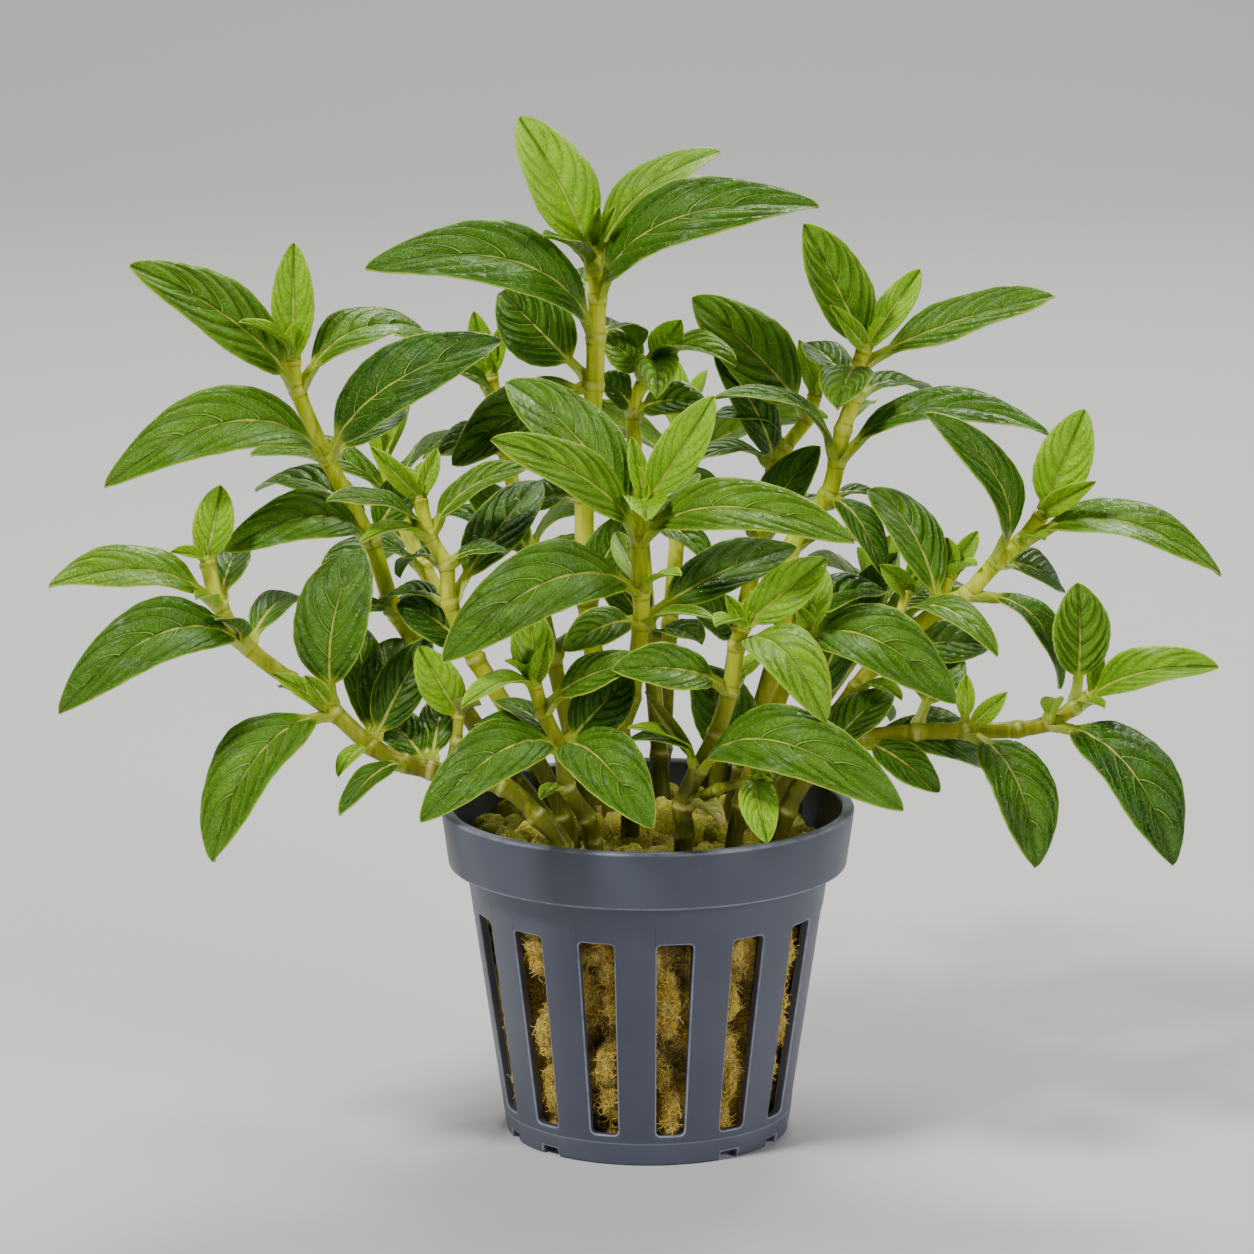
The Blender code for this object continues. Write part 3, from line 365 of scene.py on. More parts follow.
add_shoot("rear_right", 1.2, [
    (12.5, 6, 31), (16, 12, 42), (22, 20, 50), (27, 27, 55.5), (29.5, 31, 59), (30.5, 32, 61)
], [], [
    (5, 32, 34, 70, 5, REAR, 5), (5, 27.5, 33, 68.5, 3.4, REAR, 5), (4, 44, 30, 62, 7.2, UP, 18),
    (4, 21, 46, 64, 7.6, REAR, 18), (3, 37, 43, 50, 7.8, REAR, 22), (3, 42, 19, 58, 6.4, UP, 18),
    (2, 17, 37, 51, 6.6, REAR, 20), (2, 32, 17, 71, 7.2, TILT, 16)
])
add_shoot("rear_centre", 1.2, [
    (1, 12.5, 31), (2, 18, 45), (3, 29, 59), (4, 38, 69), (4.5, 42, 77), (4.5, 43, 82)
], [], [
    (5, 2, 47, 93, 5, REAR, 5), (5, 8, 45, 90, 3.4, REAR, 5), (4, -15, 48, 83, 7.6, REAR, 18),
    (4, 24, 44, 84, 7.6, REAR, 18), (3, 2, 59, 66, 7.8, REAR, 22)
])
add_shoot("left_sprig", 0.8, [
    (-24.6, -14.3, 49.3), (-23.6, -13, 53), (-23.3, -12, 56.2)
], [], [
    (2, -28.2, -12, 64.8, 6, FRONT, 6), (2, -20.5, -14, 58, 2.6, UP, 8)
], "left_low")
add_shoot("hanging_sprig", 0.7, [
    (4.3, -18.8, 46.6), (8.5, -21.5, 49), (12.8, -25, 51.2)
], [], [
    (2, 14.3, -31, 44.6, 5.2, FRONT, 12), (2, 15, -21, 53.4, 2.8, UP, 10)
], "right_front")
add_shoot("right_upper_sprig", 0.8, [
    (36.3, 0, 67), (38, 3.4, 70.6)
], [], [
    (1, 37.4, 4, 75.4, 3.2, FRONT, 5), (1, 41.4, 5, 76, 3.2, FRONT, 6), (1, 41, -1.5, 73, 3, UP, 8)
], "right_middle")
add_shoot("right_inner_sprig", 0.8, [
    (28.4, -1, 60), (31.2, 2, 65), (32.7, 3.4, 68.8)
], [], [
    (2, 29, 1, 72.4, 3.6, FRONT, 6), (2, 35, 6, 74, 3.6, FRONT, 6), (1, 43.2, -10, 63.2, 5.6, UP, 24)
], "right_middle")

# Leaves that have dried and curled: the shoot, and the place among its small leaves.
WITHERED = (("right_front", 3), ("right_front", 5), ("left_sprig", 1))

# ---- colours
LEAF_DARK = (0.01, 0.056, 0.002)
LEAF_GREEN = (0.033, 0.136, 0.002)
LEAF_BRIGHT = (0.098, 0.255, 0.004)
UNDER_GREEN = (0.12, 0.24, 0.02)
YOUNG_GREEN = (0.29, 0.59, 0.004)
YOUNG_LIGHT = (0.42, 0.76, 0.006)
VEIN_PALE = (0.4, 0.64, 0.1)
RIB_CREAM = (0.64, 0.66, 0.11)
MARGIN_CREAM = (0.56, 0.7, 0.05)
PETIOLE_LIME = (0.44, 0.53, 0.03)
PETIOLE_CREAM = (0.66, 0.68, 0.15)
STRAW = (0.46, 0.38, 0.11)
STRAW_GREEN = (0.3, 0.34, 0.05)
STEM_BROWN = (0.072, 0.06, 0.009)
STEM_OLIVE = (0.1, 0.108, 0.008)
STEM_LIME = (0.56, 0.65, 0.01)
STEM_GOLD = (0.78, 0.8, 0.06)
STEM_SCAR = (0.1, 0.066, 0.01)
STEM_STREAK = (0.15, 0.175, 0.005)
NODE_CREAM = (0.68, 0.64, 0.24)
SLATE_DARK = (0.059, 0.066, 0.097)
SLATE = (0.074, 0.082, 0.12)
SLATE_PALE = (0.096, 0.105, 0.15)
# The pale colour of the painted highlights on the pot's edges.
SLATE_HIGHLIGHT = (0.32, 0.34, 0.4)
SCUFF = (0.22, 0.23, 0.27)
WOOL_DARK = (0.11, 0.062, 0.003)
WOOL_OCHRE = (0.84, 0.5, 0.026)
WOOL_LIGHT = (0.96, 0.7, 0.12)
WOOL_GOLD = (0.88, 0.58, 0.06)
WOOL_TIP = (0.97, 0.76, 0.18)
MOSS_DARK = (0.04, 0.034, 0.001)
MOSS_OLIVE = (0.7, 0.64, 0.028)
MOSS_LIGHT = (0.72, 0.68, 0.06)
MOSS_BROWN = (0.54, 0.42, 0.03)
PAPER = (0.62, 0.62, 0.61)
SKY = (0.9, 0.92, 0.95)


# ---- materials
def give(thing, **settings):
    for key, value in settings.items():
        setattr(thing, key, value)
    return thing


class Value:
    """A node's output, to be reckoned with."""

    def __init__(self, shader, socket):
        self.shader, self.socket = shader, socket

    def __add__(self, other):
        return self.shader.math("ADD", self, other)

    def __sub__(self, other):
        return self.shader.math("SUBTRACT", self, other)

    def __mul__(self, other):
        return self.shader.math("MULTIPLY", self, other)


class Shader:
    """A material and short ways to add its nodes."""

    def __init__(self, name):
        self.material = bpy.data.materials.new(name)
        self.material.use_nodes = True
        self.tree = self.material.node_tree

    def plug(self, value, socket):
        """A socket takes another node's output, or a plain value."""
        if isinstance(value, Value):
            self.tree.links.new(value.socket, socket)
        else:
            socket.default_value = (*value, 1) if socket.type == "RGBA" else value

    def node(self, kind, output, sockets=None, **settings):
        """The output of a new node with these inputs and settings."""
        made = give(self.tree.nodes.new(kind), **settings)
        for key, value in (sockets or {}).items():
            self.plug(value, made.inputs[key])
        return Value(self, made.outputs[output])

    def math(self, operation, first, second=0):
        return self.node("ShaderNodeMath", 0, {0: first, 1: second}, operation=operation)

    def ramp(self, value, low, high, start=0, end=1):
        """A smooth step from start to end as the value goes from low to high."""
        sockets = {"Value": value, "From Min": low, "From Max": high, "To Min": start, "To Max": end}
        return self.node("ShaderNodeMapRange", "Result", sockets, interpolation_type="SMOOTHSTEP")

    def fall(self, value, low, high):
        """1 up to low, falling to 0 at high."""
        return self.ramp(value, low, high, 1, 0)

    def line(self, value, middle, half):
        """1 at the middle, falling to 0 at half a width either side."""
        return self.fall(self.math("ABSOLUTE", value - middle), 0, half)

    def mix(self, share, first, second):
        sockets = {"Factor": share, "A": first, "B": second}
        return self.node("ShaderNodeMix", "Result", sockets, data_type="RGBA")

    def paint(self, colour, *layers):
        """Others laid over a colour, each as (share, colour)."""
        for share, over in layers:
            colour = self.mix(share, colour, over)
        return colour

    def attribute(self, name):
        return self.node("ShaderNodeAttribute", "Fac", attribute_name=name)

    def place(self, stretch):
        """Object coordinates, stretched."""
        sockets = {"Vector": self.node("ShaderNodeTexCoord", "Object"), "Scale": stretch}
        return self.node("ShaderNodeMapping", "Vector", sockets)

    def noise(self, scale, detail=4, roughness=0.5, stretch=(1, 1, 1)):
        sockets = {"Vector": self.place(stretch), "Scale": scale, "Detail": detail, "Roughness": roughness}
        return self.node("ShaderNodeTexNoise", "Fac", sockets)

    def bump(self, relief, strength, distance):
        sockets = {"Strength": strength, "Distance": distance * MM, "Height": relief}
        return self.node("ShaderNodeBump", "Normal", sockets)

    def finish(self, **values):
        """The material, with these inputs of its shader."""
        shader = self.tree.nodes["Principled BSDF"]
        sockets = {item.name.lower().replace(" ", "_"): item for item in shader.inputs}
        for key, value in values.items():
            self.plug(value, sockets[key])
        return self.material


def leaf_material():
    """Glossy quilted green with a pale midrib, arching side veins and a pale margin, and painted shade in
    the vein grooves and the midrib's crease.
    """
    s = Shader("leaf_green")
    along, across, side, edge, beat, upper, age, dry, shade = map(s.attribute, LEAF_LAYERS)
    cloud = s.noise(260, 5, 0.6)
    patch = s.ramp(cloud, 0.35, 0.7)
    grain = s.noise(2700, 4, 0.7)
    cells = {"Vector": s.place((1, 1, 1)), "Scale": 1500}
    off_cell = s.node("ShaderNodeTexVoronoi", "Distance", cells, feature="DISTANCE_TO_EDGE")
    net = s.fall(off_cell, 0, 0.12)

    off_vein = s.math("PINGPONG", beat + (s.noise(260, 2) - 0.5) * 0.16, 0.5)
    shown = s.fall(across, 0.72, 0.96) * s.ramp(along, 0.02, 0.08) * s.fall(along, 0.8, 0.95)
    vein = s.fall(off_vein, 0, s.ramp(across, 0, 1, 0.044, 0.026)) * shown
    firm = s.ramp(age, 0.1, 0.8, 0.4, 1) * s.ramp(side + edge, 1.4, 3.8, 0.35, 1)
    # The groove mask sinks the side veins in the bump and also darkens the colour along them, as painted
    # shade in the grooves.
    groove = s.fall(off_vein, 0, 0.11) * shown * firm
    swell = s.ramp(off_vein, 0, 0.4) * shown * firm
    rib_width = s.ramp(along, 0, 0.85, 0.27, 0.08)
    rib = s.fall(side, rib_width * 0.45, rib_width) * s.ramp(along, 0.4, 0.85, 1, 0.15)
    # The fold mask darkens a narrow band along the midrib, more towards the tip, as painted shade in its
    # crease; the bump sinks it too.
    fold = s.fall(side, 0.04, s.ramp(along, 0.3, 0.9, 0.45, 0.24)) * s.ramp(along, 0.3, 0.8, 0.4, 0.85)

    mature = s.paint(s.mix(patch, LEAF_DARK, LEAF_GREEN), (shade * 0.5, LEAF_BRIGHT),
                     (s.fall(across, 0, 0.75) * 0.22, LEAF_BRIGHT))
    green = s.paint(
        s.mix(age, s.mix(patch, YOUNG_GREEN, YOUNG_LIGHT), mature),
        (groove * 0.58, LEAF_DARK), (net * 0.12, VEIN_PALE),
        (s.ramp(grain, 0.46, 0.7, 0, 0.42), LEAF_DARK), (vein * 0.72, VEIN_PALE),
        (fold, LEAF_DARK), (rib * 0.95, RIB_CREAM),
        (s.fall(edge, 0.07, 0.22) * 0.8, MARGIN_CREAM)
    )
    under = s.paint(s.mix(age, YOUNG_LIGHT, UNDER_GREEN), (vein * 0.45, VEIN_PALE), (rib * 0.85, RIB_CREAM))
    stalk = s.mix(s.fall(along, -0.3, 0), PETIOLE_LIME, PETIOLE_CREAM)
    straw = s.mix(s.ramp(cloud, 0.3, 0.7), STRAW, STRAW_GREEN)
    colour = s.paint(under, (upper, green), (s.fall(along, -0.03, 0.1), stalk), (dry, straw))
    relief = (groove * -1.1 + vein * 0.3 - fold * 0.6 + rib * 0.6 - net * 0.25 + cloud * 0.3
              + grain * 0.62 + swell * 1.8)
    return s.finish(
        base_color=colour, normal=s.bump(relief, 1, 0.22),
        roughness=s.ramp(s.noise(420, 4), 0.3, 0.7, 0.25, 0.35),
        coat_weight=0.08, coat_roughness=0.25,
        specular_ior_level=0.6, specular_tint=(0.74, 1, 0.42),
        subsurface_weight=0.06, subsurface_scale=0.001, subsurface_radius=(0.5, 1, 0.12)
    )


def stem_material():
    """Yellow-olive living stem, browner and duller low down, with pale rings at its nodes."""
    s = Shader("stem_olive")
    node, ring, youth = map(s.attribute, STEM_LAYERS)
    streak = s.noise(900, 4, 0.6, (1, 1, 0.1))
    blotch = s.ramp(s.noise(160, 4, 0.6), 0.35, 0.7)
    patchy = s.ramp(s.noise(700, 3), 0.4, 0.6)
    scar = s.line(node, 0.6, 0.22) * s.ramp(patchy, 0, 1, 0.35, 1)
    skin = s.mix(youth, s.mix(blotch, STEM_BROWN, STEM_OLIVE), s.mix(blotch, STEM_LIME, STEM_GOLD))
    colour = s.paint(
        skin, (s.ramp(streak, 0.44, 0.66, 0, 0.45), STEM_STREAK),
        (s.ramp(streak, 0.5, 0.3, 0, 0.2), STEM_GOLD), (node * 0.2, STEM_LIME),
        (scar * 0.55, STEM_SCAR), (ring * patchy * 0.75, NODE_CREAM)
    )
    return s.finish(
        base_color=colour, normal=s.bump(streak * 0.9 + ring * 0.7, 0.6, 0.14),
        roughness=s.ramp(streak, 0.3, 0.7, 0.32, 0.46),
        specular_ior_level=0.26, specular_tint=(1, 1, 0.6),
        subsurface_weight=0.05, subsurface_scale=0.001, subsurface_radius=(1, 0.9, 0.1)
    )


def plastic_material(name, edge_highlight):
    """Satin slate-grey plastic with a fine grain and faint scuffs, and painted highlights: pale lines at the
    rim's top edge, the collar's foot and the foot groove, and pale patches all over as strong as the second
    argument.
    """
    s = Shader(name)
    height = s.node("ShaderNodeSeparateXYZ", "Z", {0: s.place((1 / MM, 1 / MM, 1 / MM))})
    patch = s.noise(60, 5, 0.6)
    flow = s.noise(90, 3, 0.5, (1, 1, 0.15))
    # How strong the painted highlights below are, from place to place.
    highlight_patchiness = s.ramp(s.noise(500, 3, 0.6), 0.3, 0.6, 0.5, 1)
    # Painted highlights: a pale line along the rim's top edge and one along the foot of the collar.
    edges = s.line(height, POT_HEIGHT - 0.18, 0.3) + s.line(height, COLLAR_FOOT + 0.1, 0.28)
    colour = s.paint(
        s.mix(s.ramp(patch, 0.3, 0.75), SLATE_DARK, SLATE),
        (s.ramp(flow, 0.5, 0.8, 0, 0.3), SLATE_PALE),
        (s.ramp(s.noise(1700, 2, 0.7), 0.7, 0.78, 0, 0.3), SCUFF),
        (edges * highlight_patchiness * 0.75, SLATE_HIGHLIGHT),
        # A fainter painted highlight along the foot groove, and painted highlight patches all over, as
        # strong as the second argument.
        (s.line(height, FOOT_GROOVE, 0.16) * 0.35, SLATE_HIGHLIGHT), (highlight_patchiness * edge_highlight, SLATE_HIGHLIGHT)
    )
    grain = s.noise(2600, 2)
    return s.finish(base_color=colour, normal=s.bump(grain * 0.5 + flow * 0.6, 0.22, 0.08),
                    roughness=s.ramp(patch, 0.25, 0.75, 0.36, 0.48), specular_ior_level=0.5)


def wool_material(name, dark, middle, light, fleck, rough):
    """Mineral wool: matted fibres, with painted shade in its crevices from the deep attribute."""
    s = Shader(name)
    tuft = s.noise(600, 8, 0.7)
    curl = s.math("PINGPONG", s.noise(330, 2) * 22, 0.5) * 2
    thread = s.noise(2600, 6, 0.8)
    colour = s.paint(
        s.mix(s.ramp(tuft, 0.38, 0.62), middle, light),
        (s.ramp(s.noise(170, 4, 0.6), 0.45, 0.65, 0, 0.75), fleck),
        (s.ramp(thread, 0.4, 0.6, 0.55, 0), dark),
        (s.ramp(curl, 0.62, 0.95, 0, 0.6), light),
        (s.ramp(curl, 0.3, 0.05, 0, 0.35), dark),
        (s.ramp(s.noise(3800, 2, 0.6), 0.62, 0.72, 0, 0.45), light),
        # The deep attribute is painted shade: darker in crevices and low places, under each crumb, and where
        # the top meets the pot.
        (s.attribute("deep"), dark)
    )
    return s.finish(
        base_color=colour, normal=s.bump(tuft + thread * 0.7 + curl * 0.55, rough, 0.5),
        roughness=0.5 + 0.4 * rough, specular_ior_level=0.2,
        sheen_weight=0.15, sheen_roughness=0.5
    )


def fibre_material():
    """Golden strands of mineral wool."""
    s = Shader("wool_fibre")
    tone = s.ramp(s.noise(700, 3, 0.6), 0.4, 0.6)
    return s.finish(base_color=s.mix(tone, WOOL_GOLD, WOOL_TIP), roughness=0.5, specular_ior_level=0.3)


# ---- mesh helpers
def link(name, data):
    made = bpy.data.objects.new(name, data)
    bpy.context.collection.objects.link(made)
    return made


def new_mesh(names=()):
    """An empty bmesh, and a layer of numbers for each of the names."""
    bm = bmesh.new()
    return bm, [bm.verts.layers.float.new(name) for name in names]


def finish(bm, name, *materials):
    """A bmesh in millimetres becomes a named object in metres."""
    bmesh.ops.recalc_face_normals(bm, faces=bm.faces)
    bmesh.ops.scale(bm, vec=(MM, MM, MM), verts=bm.verts)
    mesh = bpy.data.meshes.new(name)
    bm.to_mesh(mesh)
    bm.free()
    for item in materials:
        mesh.materials.append(item)
    mesh.shade_smooth()
    return link(name, mesh)


def dress(piece, node):
    """The piece rides with the pot and stands for the CAD node."""
    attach(piece, "root")
    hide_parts(node)


def evaluated(piece):
    """A new mesh of the piece as its modifiers or its curve leave it."""
    view = bpy.context.evaluated_depsgraph_get()
    return bpy.data.meshes.new_from_object(piece.evaluated_get(view))


def spread(grid):
    """Points of a grid, each with how far along and across it lies, from 0 to 1."""
    return [(vert, 0.5 * (vert.co.x + 1), 0.5 * (vert.co.y + 1)) for vert in grid]


def sheet(bm, rows, columns):
    return spread(bmesh.ops.create_grid(bm, x_segments=rows, y_segments=columns, size=1)["verts"])


def close_up(bm, grid):
    """Join the seam and the poles of a sheet that has been rolled up."""
    bmesh.ops.remove_doubles(bm, verts=[vert for vert, _, _ in grid], dist=0.0005)


def chain(bm, points):
    """Corners and the edges that join them into a line."""
    verts = [bm.verts.new(point) for point in points]
    return verts, [bm.edges.new(pair) for pair in zip(verts, verts[1:])]


def heading(angle, rise=0):
    """The level way at an angle in radians, with a rise."""
    return Vector((cos(angle), sin(angle), rise))


def lifted(spot, height):
    return spot + Vector((0, 0, height))


def ease(low, high, value):
    """A smooth step from 0 to 1 as the value goes from low to high."""
    share = min(max((value - low) / (high - low), 0), 1)
    return share * share * (3 - 2 * share)


def hump(distance, reach):
    """1 at no distance, falling to 0 beyond the reach."""
    return exp(-(distance / reach) ** 2)


# ---- leaves
def midrib(root, bend, tip, share):
    """A point on the bowed midrib."""
    return (1 - share) ** 2 * root + 2 * share * (1 - share) * bend + share ** 2 * tip


def breadth(share):
    """The blade's width as a share of its greatest: round shoulders and a tapering tip."""
    share = min(max(share, 0), 1)
    return share ** 0.62 * (1 - share) ** 0.72 / 0.3966


def vein_beat(reached, span):
    """Whole numbers where a side vein lies, a little out of step on the two halves."""
    away = abs(span)
    swept = reached - VEIN_LEAN * away - VEIN_SWEEP * away ** VEIN_POWER
    return swept * SIDE_VEINS + (0.22 if span > 0 else 0)


def leaf_rows(rib, up, first, blade, rows, twist):
    """Each row's share of the leaf and of the blade, its point, and its sideways and upper ways."""
    frames = []
    for row in range(rows + 1):
        share = first + (1 - first) * row / rows
        ahead = (midrib(*rib, share + SLOPE_STEP) - midrib(*rib, share - SLOPE_STEP)).normalized()
        normal = Matrix.Rotation(twist * share * share, 3, ahead) @ (up - ahead * up.dot(ahead))
        normal.normalize()
        reached = (share - blade) / (1 - blade)
        frames.append((share, reached, midrib(*rib, share), ahead.cross(normal), normal))
    return frames


def add_leaf(bm, layers, axis, leaf, kind, start, fold, age, dry, rng):
    """A thin closed leaf with a channelled petiole, sunken veins and a slightly wavy edge."""
    rows, columns, stalk_length, tip_stalk_length = kind
    node = Vector(axis[leaf.place])
    tip = Vector((leaf.x, leaf.y, leaf.z))
    reach = tip - node
    look = Vector(leaf.look)
    up = (look - reach * look.dot(reach) / reach.length_squared).normalized()
    run = BEND_PLACE * reach + 2 * leaf.arch / 100 * reach.length * up
    pace = 2 * run.length
    if leaf.place == len(axis) - 1:
        stalk_length = tip_stalk_length
    blade = min(stalk_length / pace, LONGEST_PETIOLE)
    twist = radians(rng.uniform(-MOST_TWIST, MOST_TWIST))
    frames = leaf_rows((node, node + run, tip), up, start / pace, blade, rows, twist)
    phase = rng.uniform(0, tau)
    wave = rng.uniform(0.4, 1) * min(WAVE_SHARE * leaf.width, MOST_WAVE)
    sway = rng.uniform(-MOST_SWAY, MOST_SWAY) * reach.length
    shade = rng.uniform(0, 1)
    curl = DRY_CURL if dry else 0
    size = min(leaf.width / FULL_WIDTH, 1.1)
    half_stalk = min(PETIOLE_HALF, PETIOLE_SHARE * leaf.width)
    thick = half_stalk / PETIOLE_HALF
    lift, reach_out = sin(fold), cos(fold)

    top = sheet(bm, rows, columns)
    faces = list(dict.fromkeys(face for vert, _, _ in top for face in vert.link_faces))
    copied = bmesh.ops.extrude_face_region(bm, geom=faces)["geom"]
    under = spread(item for item in copied if isinstance(item, bmesh.types.BMVert))
    both = [(vert, True) for vert in top] + [(vert, False) for vert in under]
    for (vert, along, across), is_upper in both:
        span = copysign(abs(2 * across - 1) ** 1.2, across - 0.5)
        away = abs(span)
        share, reached, point, out, normal = frames[round(along * rows)]
        grown = ease(-0.04, 0.14, reached)
        relief = grown * (0.3 + 0.7 * age)
        teeth = 1 + TEETH_DEPTH * sin(reached * tau * TEETH + phase)
        stalk = half_stalk * (1 + 0.6 * hump(max(share * pace - 1.2, 0), 0.9))
        stalk *= 1 - 0.95 * ease(0, 0.9, reached)
        lamina = 0.5 * leaf.width * breadth(reached) * teeth
        half = (stalk ** 3 + lamina ** 3) ** (1 / 3)
        beat = vein_beat(reached, span)
        quilt = abs(sin(pi * beat)) ** 1.2 * (4 * away * (1 - away)) ** 0.6
        rise = (lift * half * away - CHANNEL * half * away ** 4) * grown
        rise += QUILT * size ** 2.2 * quilt * relief * ease(1, 0.75, reached)
        rise -= RIB_SINK * size * hump(span * half, 0.32) * grown
        rise += wave * away ** 3 * grown * sin(reached * 12 + phase + 2 * (span > 0))
        rise += 0.3 * half_stalk * away * away * (1 - grown)
        ridge = RIB_RIDGE * size * hump(span * half, 0.3) * (1 - 0.6 * reached)
        body = BLADE_THICK * size * (1 - away ** 6) + 0.05 + ridge
        round_below = sqrt(max(1 - span * span, 0))
        depth = (1 - grown) * thick * (round_below + 0.12) + grown * body
        aside = span * half * (1 - 0.35 * curl * away) * (1 + (reach_out - 1) * grown)
        aside += sway * share * (1 - share) * 2
        bend_in = curl * half * away ** 2 * grown
        vert.co = point + out * aside + normal * (bend_in + (rise if is_upper else rise - depth))
        values = (reached, away, away * half, half * (1 - away), beat, is_upper, age, dry, shade)
        for layer, value in zip(layers, values):
            vert[layer] = value


def grow_leaf(bm, layers, axis, leaf, kind, start, dry, rng):
    """A leaf whose age and fold follow from its place on the stem."""
    below = len(axis) - 1 - leaf.place
    tiny = leaf.width < TINY_WIDTH
    age = rng.uniform(0.05, 0.3) if tiny else min(AGES[min(below, 2)] + rng.uniform(-0.08, 0.12), 1)
    if leaf.age is not None:
        age = leaf.age
    fold = radians(FOLD + TIP_FOLD * (below == 0) + TINY_FOLD * tiny)
    add_leaf(bm, layers, axis, leaf, kind, start, fold, age, dry, rng)


def build_large_leaves(name, shoot, green, rng):
    for number, leaf in enumerate(shoot.large, start=1):
        bm, layers = new_mesh(LEAF_LAYERS)
        grow_leaf(bm, layers, shoot.stem, Leaf(*leaf), LARGE_LEAF, LARGE_START, False, rng)
        dress(finish(bm, f"blade_{name}_{number}", green), f"leaf_{name}_{number}")


def add_buds(bm, layers, shoot, rng):
    """The tight pale leaves that are just opening at a stem's tip."""
    end = Vector(shoot.stem[-1])
    way = (end - Vector(shoot.stem[-2])).normalized()
    side = way.orthogonal().normalized()
    length = BUD_LENGTH * (1 if shoot.radius > 1 else 0.7)
    begin = rng.uniform(0, tau)
    for count in range(BUDS):
        turn = begin + count * pi + (count // 2) * 0.5 * pi
        out = Matrix.Rotation(turn, 3, way) @ side
        long = length * (1 if count < 2 else 0.62)
        tip = end + long * rng.uniform(0.8, 1) * way + long * rng.uniform(0.22, 0.55) * out
        bud = Leaf(len(shoot.stem) - 1, *tip, 0.52 * long, -out + 0.4 * way, 6)
        add_leaf(bm, layers, shoot.stem, bud, BUD_LEAF, BUD_START, radians(BUD_FOLD), BUD_AGE, False, rng)


def build_small_leaves(name, shoots, green, rng):
    """The small leaves and the buds of a stem and of its side shoots."""
    bm, layers = new_mesh(LEAF_LAYERS)
    for key, shoot in shoots:
        for number, leaf in enumerate(shoot.small):
            leaf = Leaf(*leaf)
            kind = SMALL_LEAF if leaf.width > SMALL_WIDTH else TINY_LEAF
            dry = (key, number) in WITHERED
            grow_leaf(bm, layers, shoot.stem, leaf, kind, SMALL_START, dry, rng)
        add_buds(bm, layers, shoot, rng)
    dress(finish(bm, "young_leaves_" + name, green), "stem_" + name)


# ---- stems
def smooth_axis(points):
    """An even walk along a smooth curve: (point, place in the list)."""
    walk = []
    last = len(points) - 1
    for index in range(last):
        a = points[max(index - 1, 0)]
        b, c = points[index:index + 2]
        d = points[min(index + 2, last)]
        count = max(int((c - b).length / STEM_STEP), 1)
        for t in (part / count for part in range(count)):
            point = 0.5 * (2 * b + (c - a) * t + (2 * a - 5 * b + 4 * c - d) * t * t
                           + (3 * b - a - 3 * c + d) * t * t * t)
            walk.append((point, index + t))
    walk.append((points[last], float(last)))
    return walk


def add_stem(bm, layers, shoot, rng):
    """A round stem, swollen at each node, with a fine ridge round it."""
    points = [Vector(place) for place in shoot.stem]
    walk = smooth_axis(points)
    last = len(walk) - 1
    side = (walk[1][0] - walk[0][0]).orthogonal().normalized()
    seed = rng.uniform(0, 50)
    rings = []
    for index, (point, place) in enumerate(walk):
        ahead = (walk[min(index + 1, last)][0] - walk[max(index - 1, 0)][0]).normalized()
        side = (side - ahead * side.dot(ahead)).normalized()
        gap = min((point - node).length for node in points[1:])
        above = min((point - node - ahead * 1.1).length for node in points[1:])
        share = place / (len(points) - 1)
        radius = shoot.radius * (1 + (STEM_TAPER - 1) * share)
        radius *= 1 + NODE_SWELL * hump(gap, NODE_REACH)
        radius += NODE_RIDGE * hump(gap, 0.22) - 0.05 * hump(above, 0.45)
        if index in (0, last):
            radius = 0
        rings.append((point, side.copy(), ahead.cross(side), radius, gap, share))
    grid = sheet(bm, last, STEM_SIDES)
    for vert, along, across in grid:
        index = round(along * last)
        point, first, second, radius, gap, share = rings[index]
        angle = tau * across
        way = cos(angle) * first + sin(angle) * second
        rough = 1 + 0.04 * noise.noise(Vector((seed + cos(angle), sin(angle), index * 0.09)))
        square = 1 + 0.03 * cos(4 * angle)
        vert.co = point + way * radius * rough * square
        youth = max(ease(*YOUNG_HEIGHTS, point.z), 0.8 * ease(0.65, 1, share))
        for layer, value in zip(layers, (hump(gap, 1), hump(gap, 0.26), youth)):
            vert[layer] = value
    close_up(bm, grid)


def build_plant():
    green = leaf_material()
    olive = stem_material()
    rng = random.Random(11)
    for name, shoot in SHOOTS.items():
        if shoot.on is None:
            one_body = [(key, part) for key, part in SHOOTS.items() if name in (key, part.on)]
            build_large_leaves(name, shoot, green, rng)
            build_small_leaves(name, one_body, green, rng)
            bm, layers = new_mesh(STEM_LAYERS)
            for _, part in one_body:
                add_stem(bm, layers, part, rng)
            dress(finish(bm, "shoot_" + name, olive), "stem_" + name)


# ---- pot
def body_radius(height):
    """Outer radius of the pot below its collar."""
    return FOOT_RADIUS + (BODY_TOP_RADIUS - FOOT_RADIUS) * height / COLLAR_FOOT


def arc(centre, radius, start, end, steps):
    """Points of (radius, height) on part of a circle, with the angles from +X."""
    turns = [radians(start + (end - start) * k / steps) for k in range(steps + 1)]
    return [(centre[0] + radius * cos(a), centre[1] + radius * sin(a)) for a in turns]


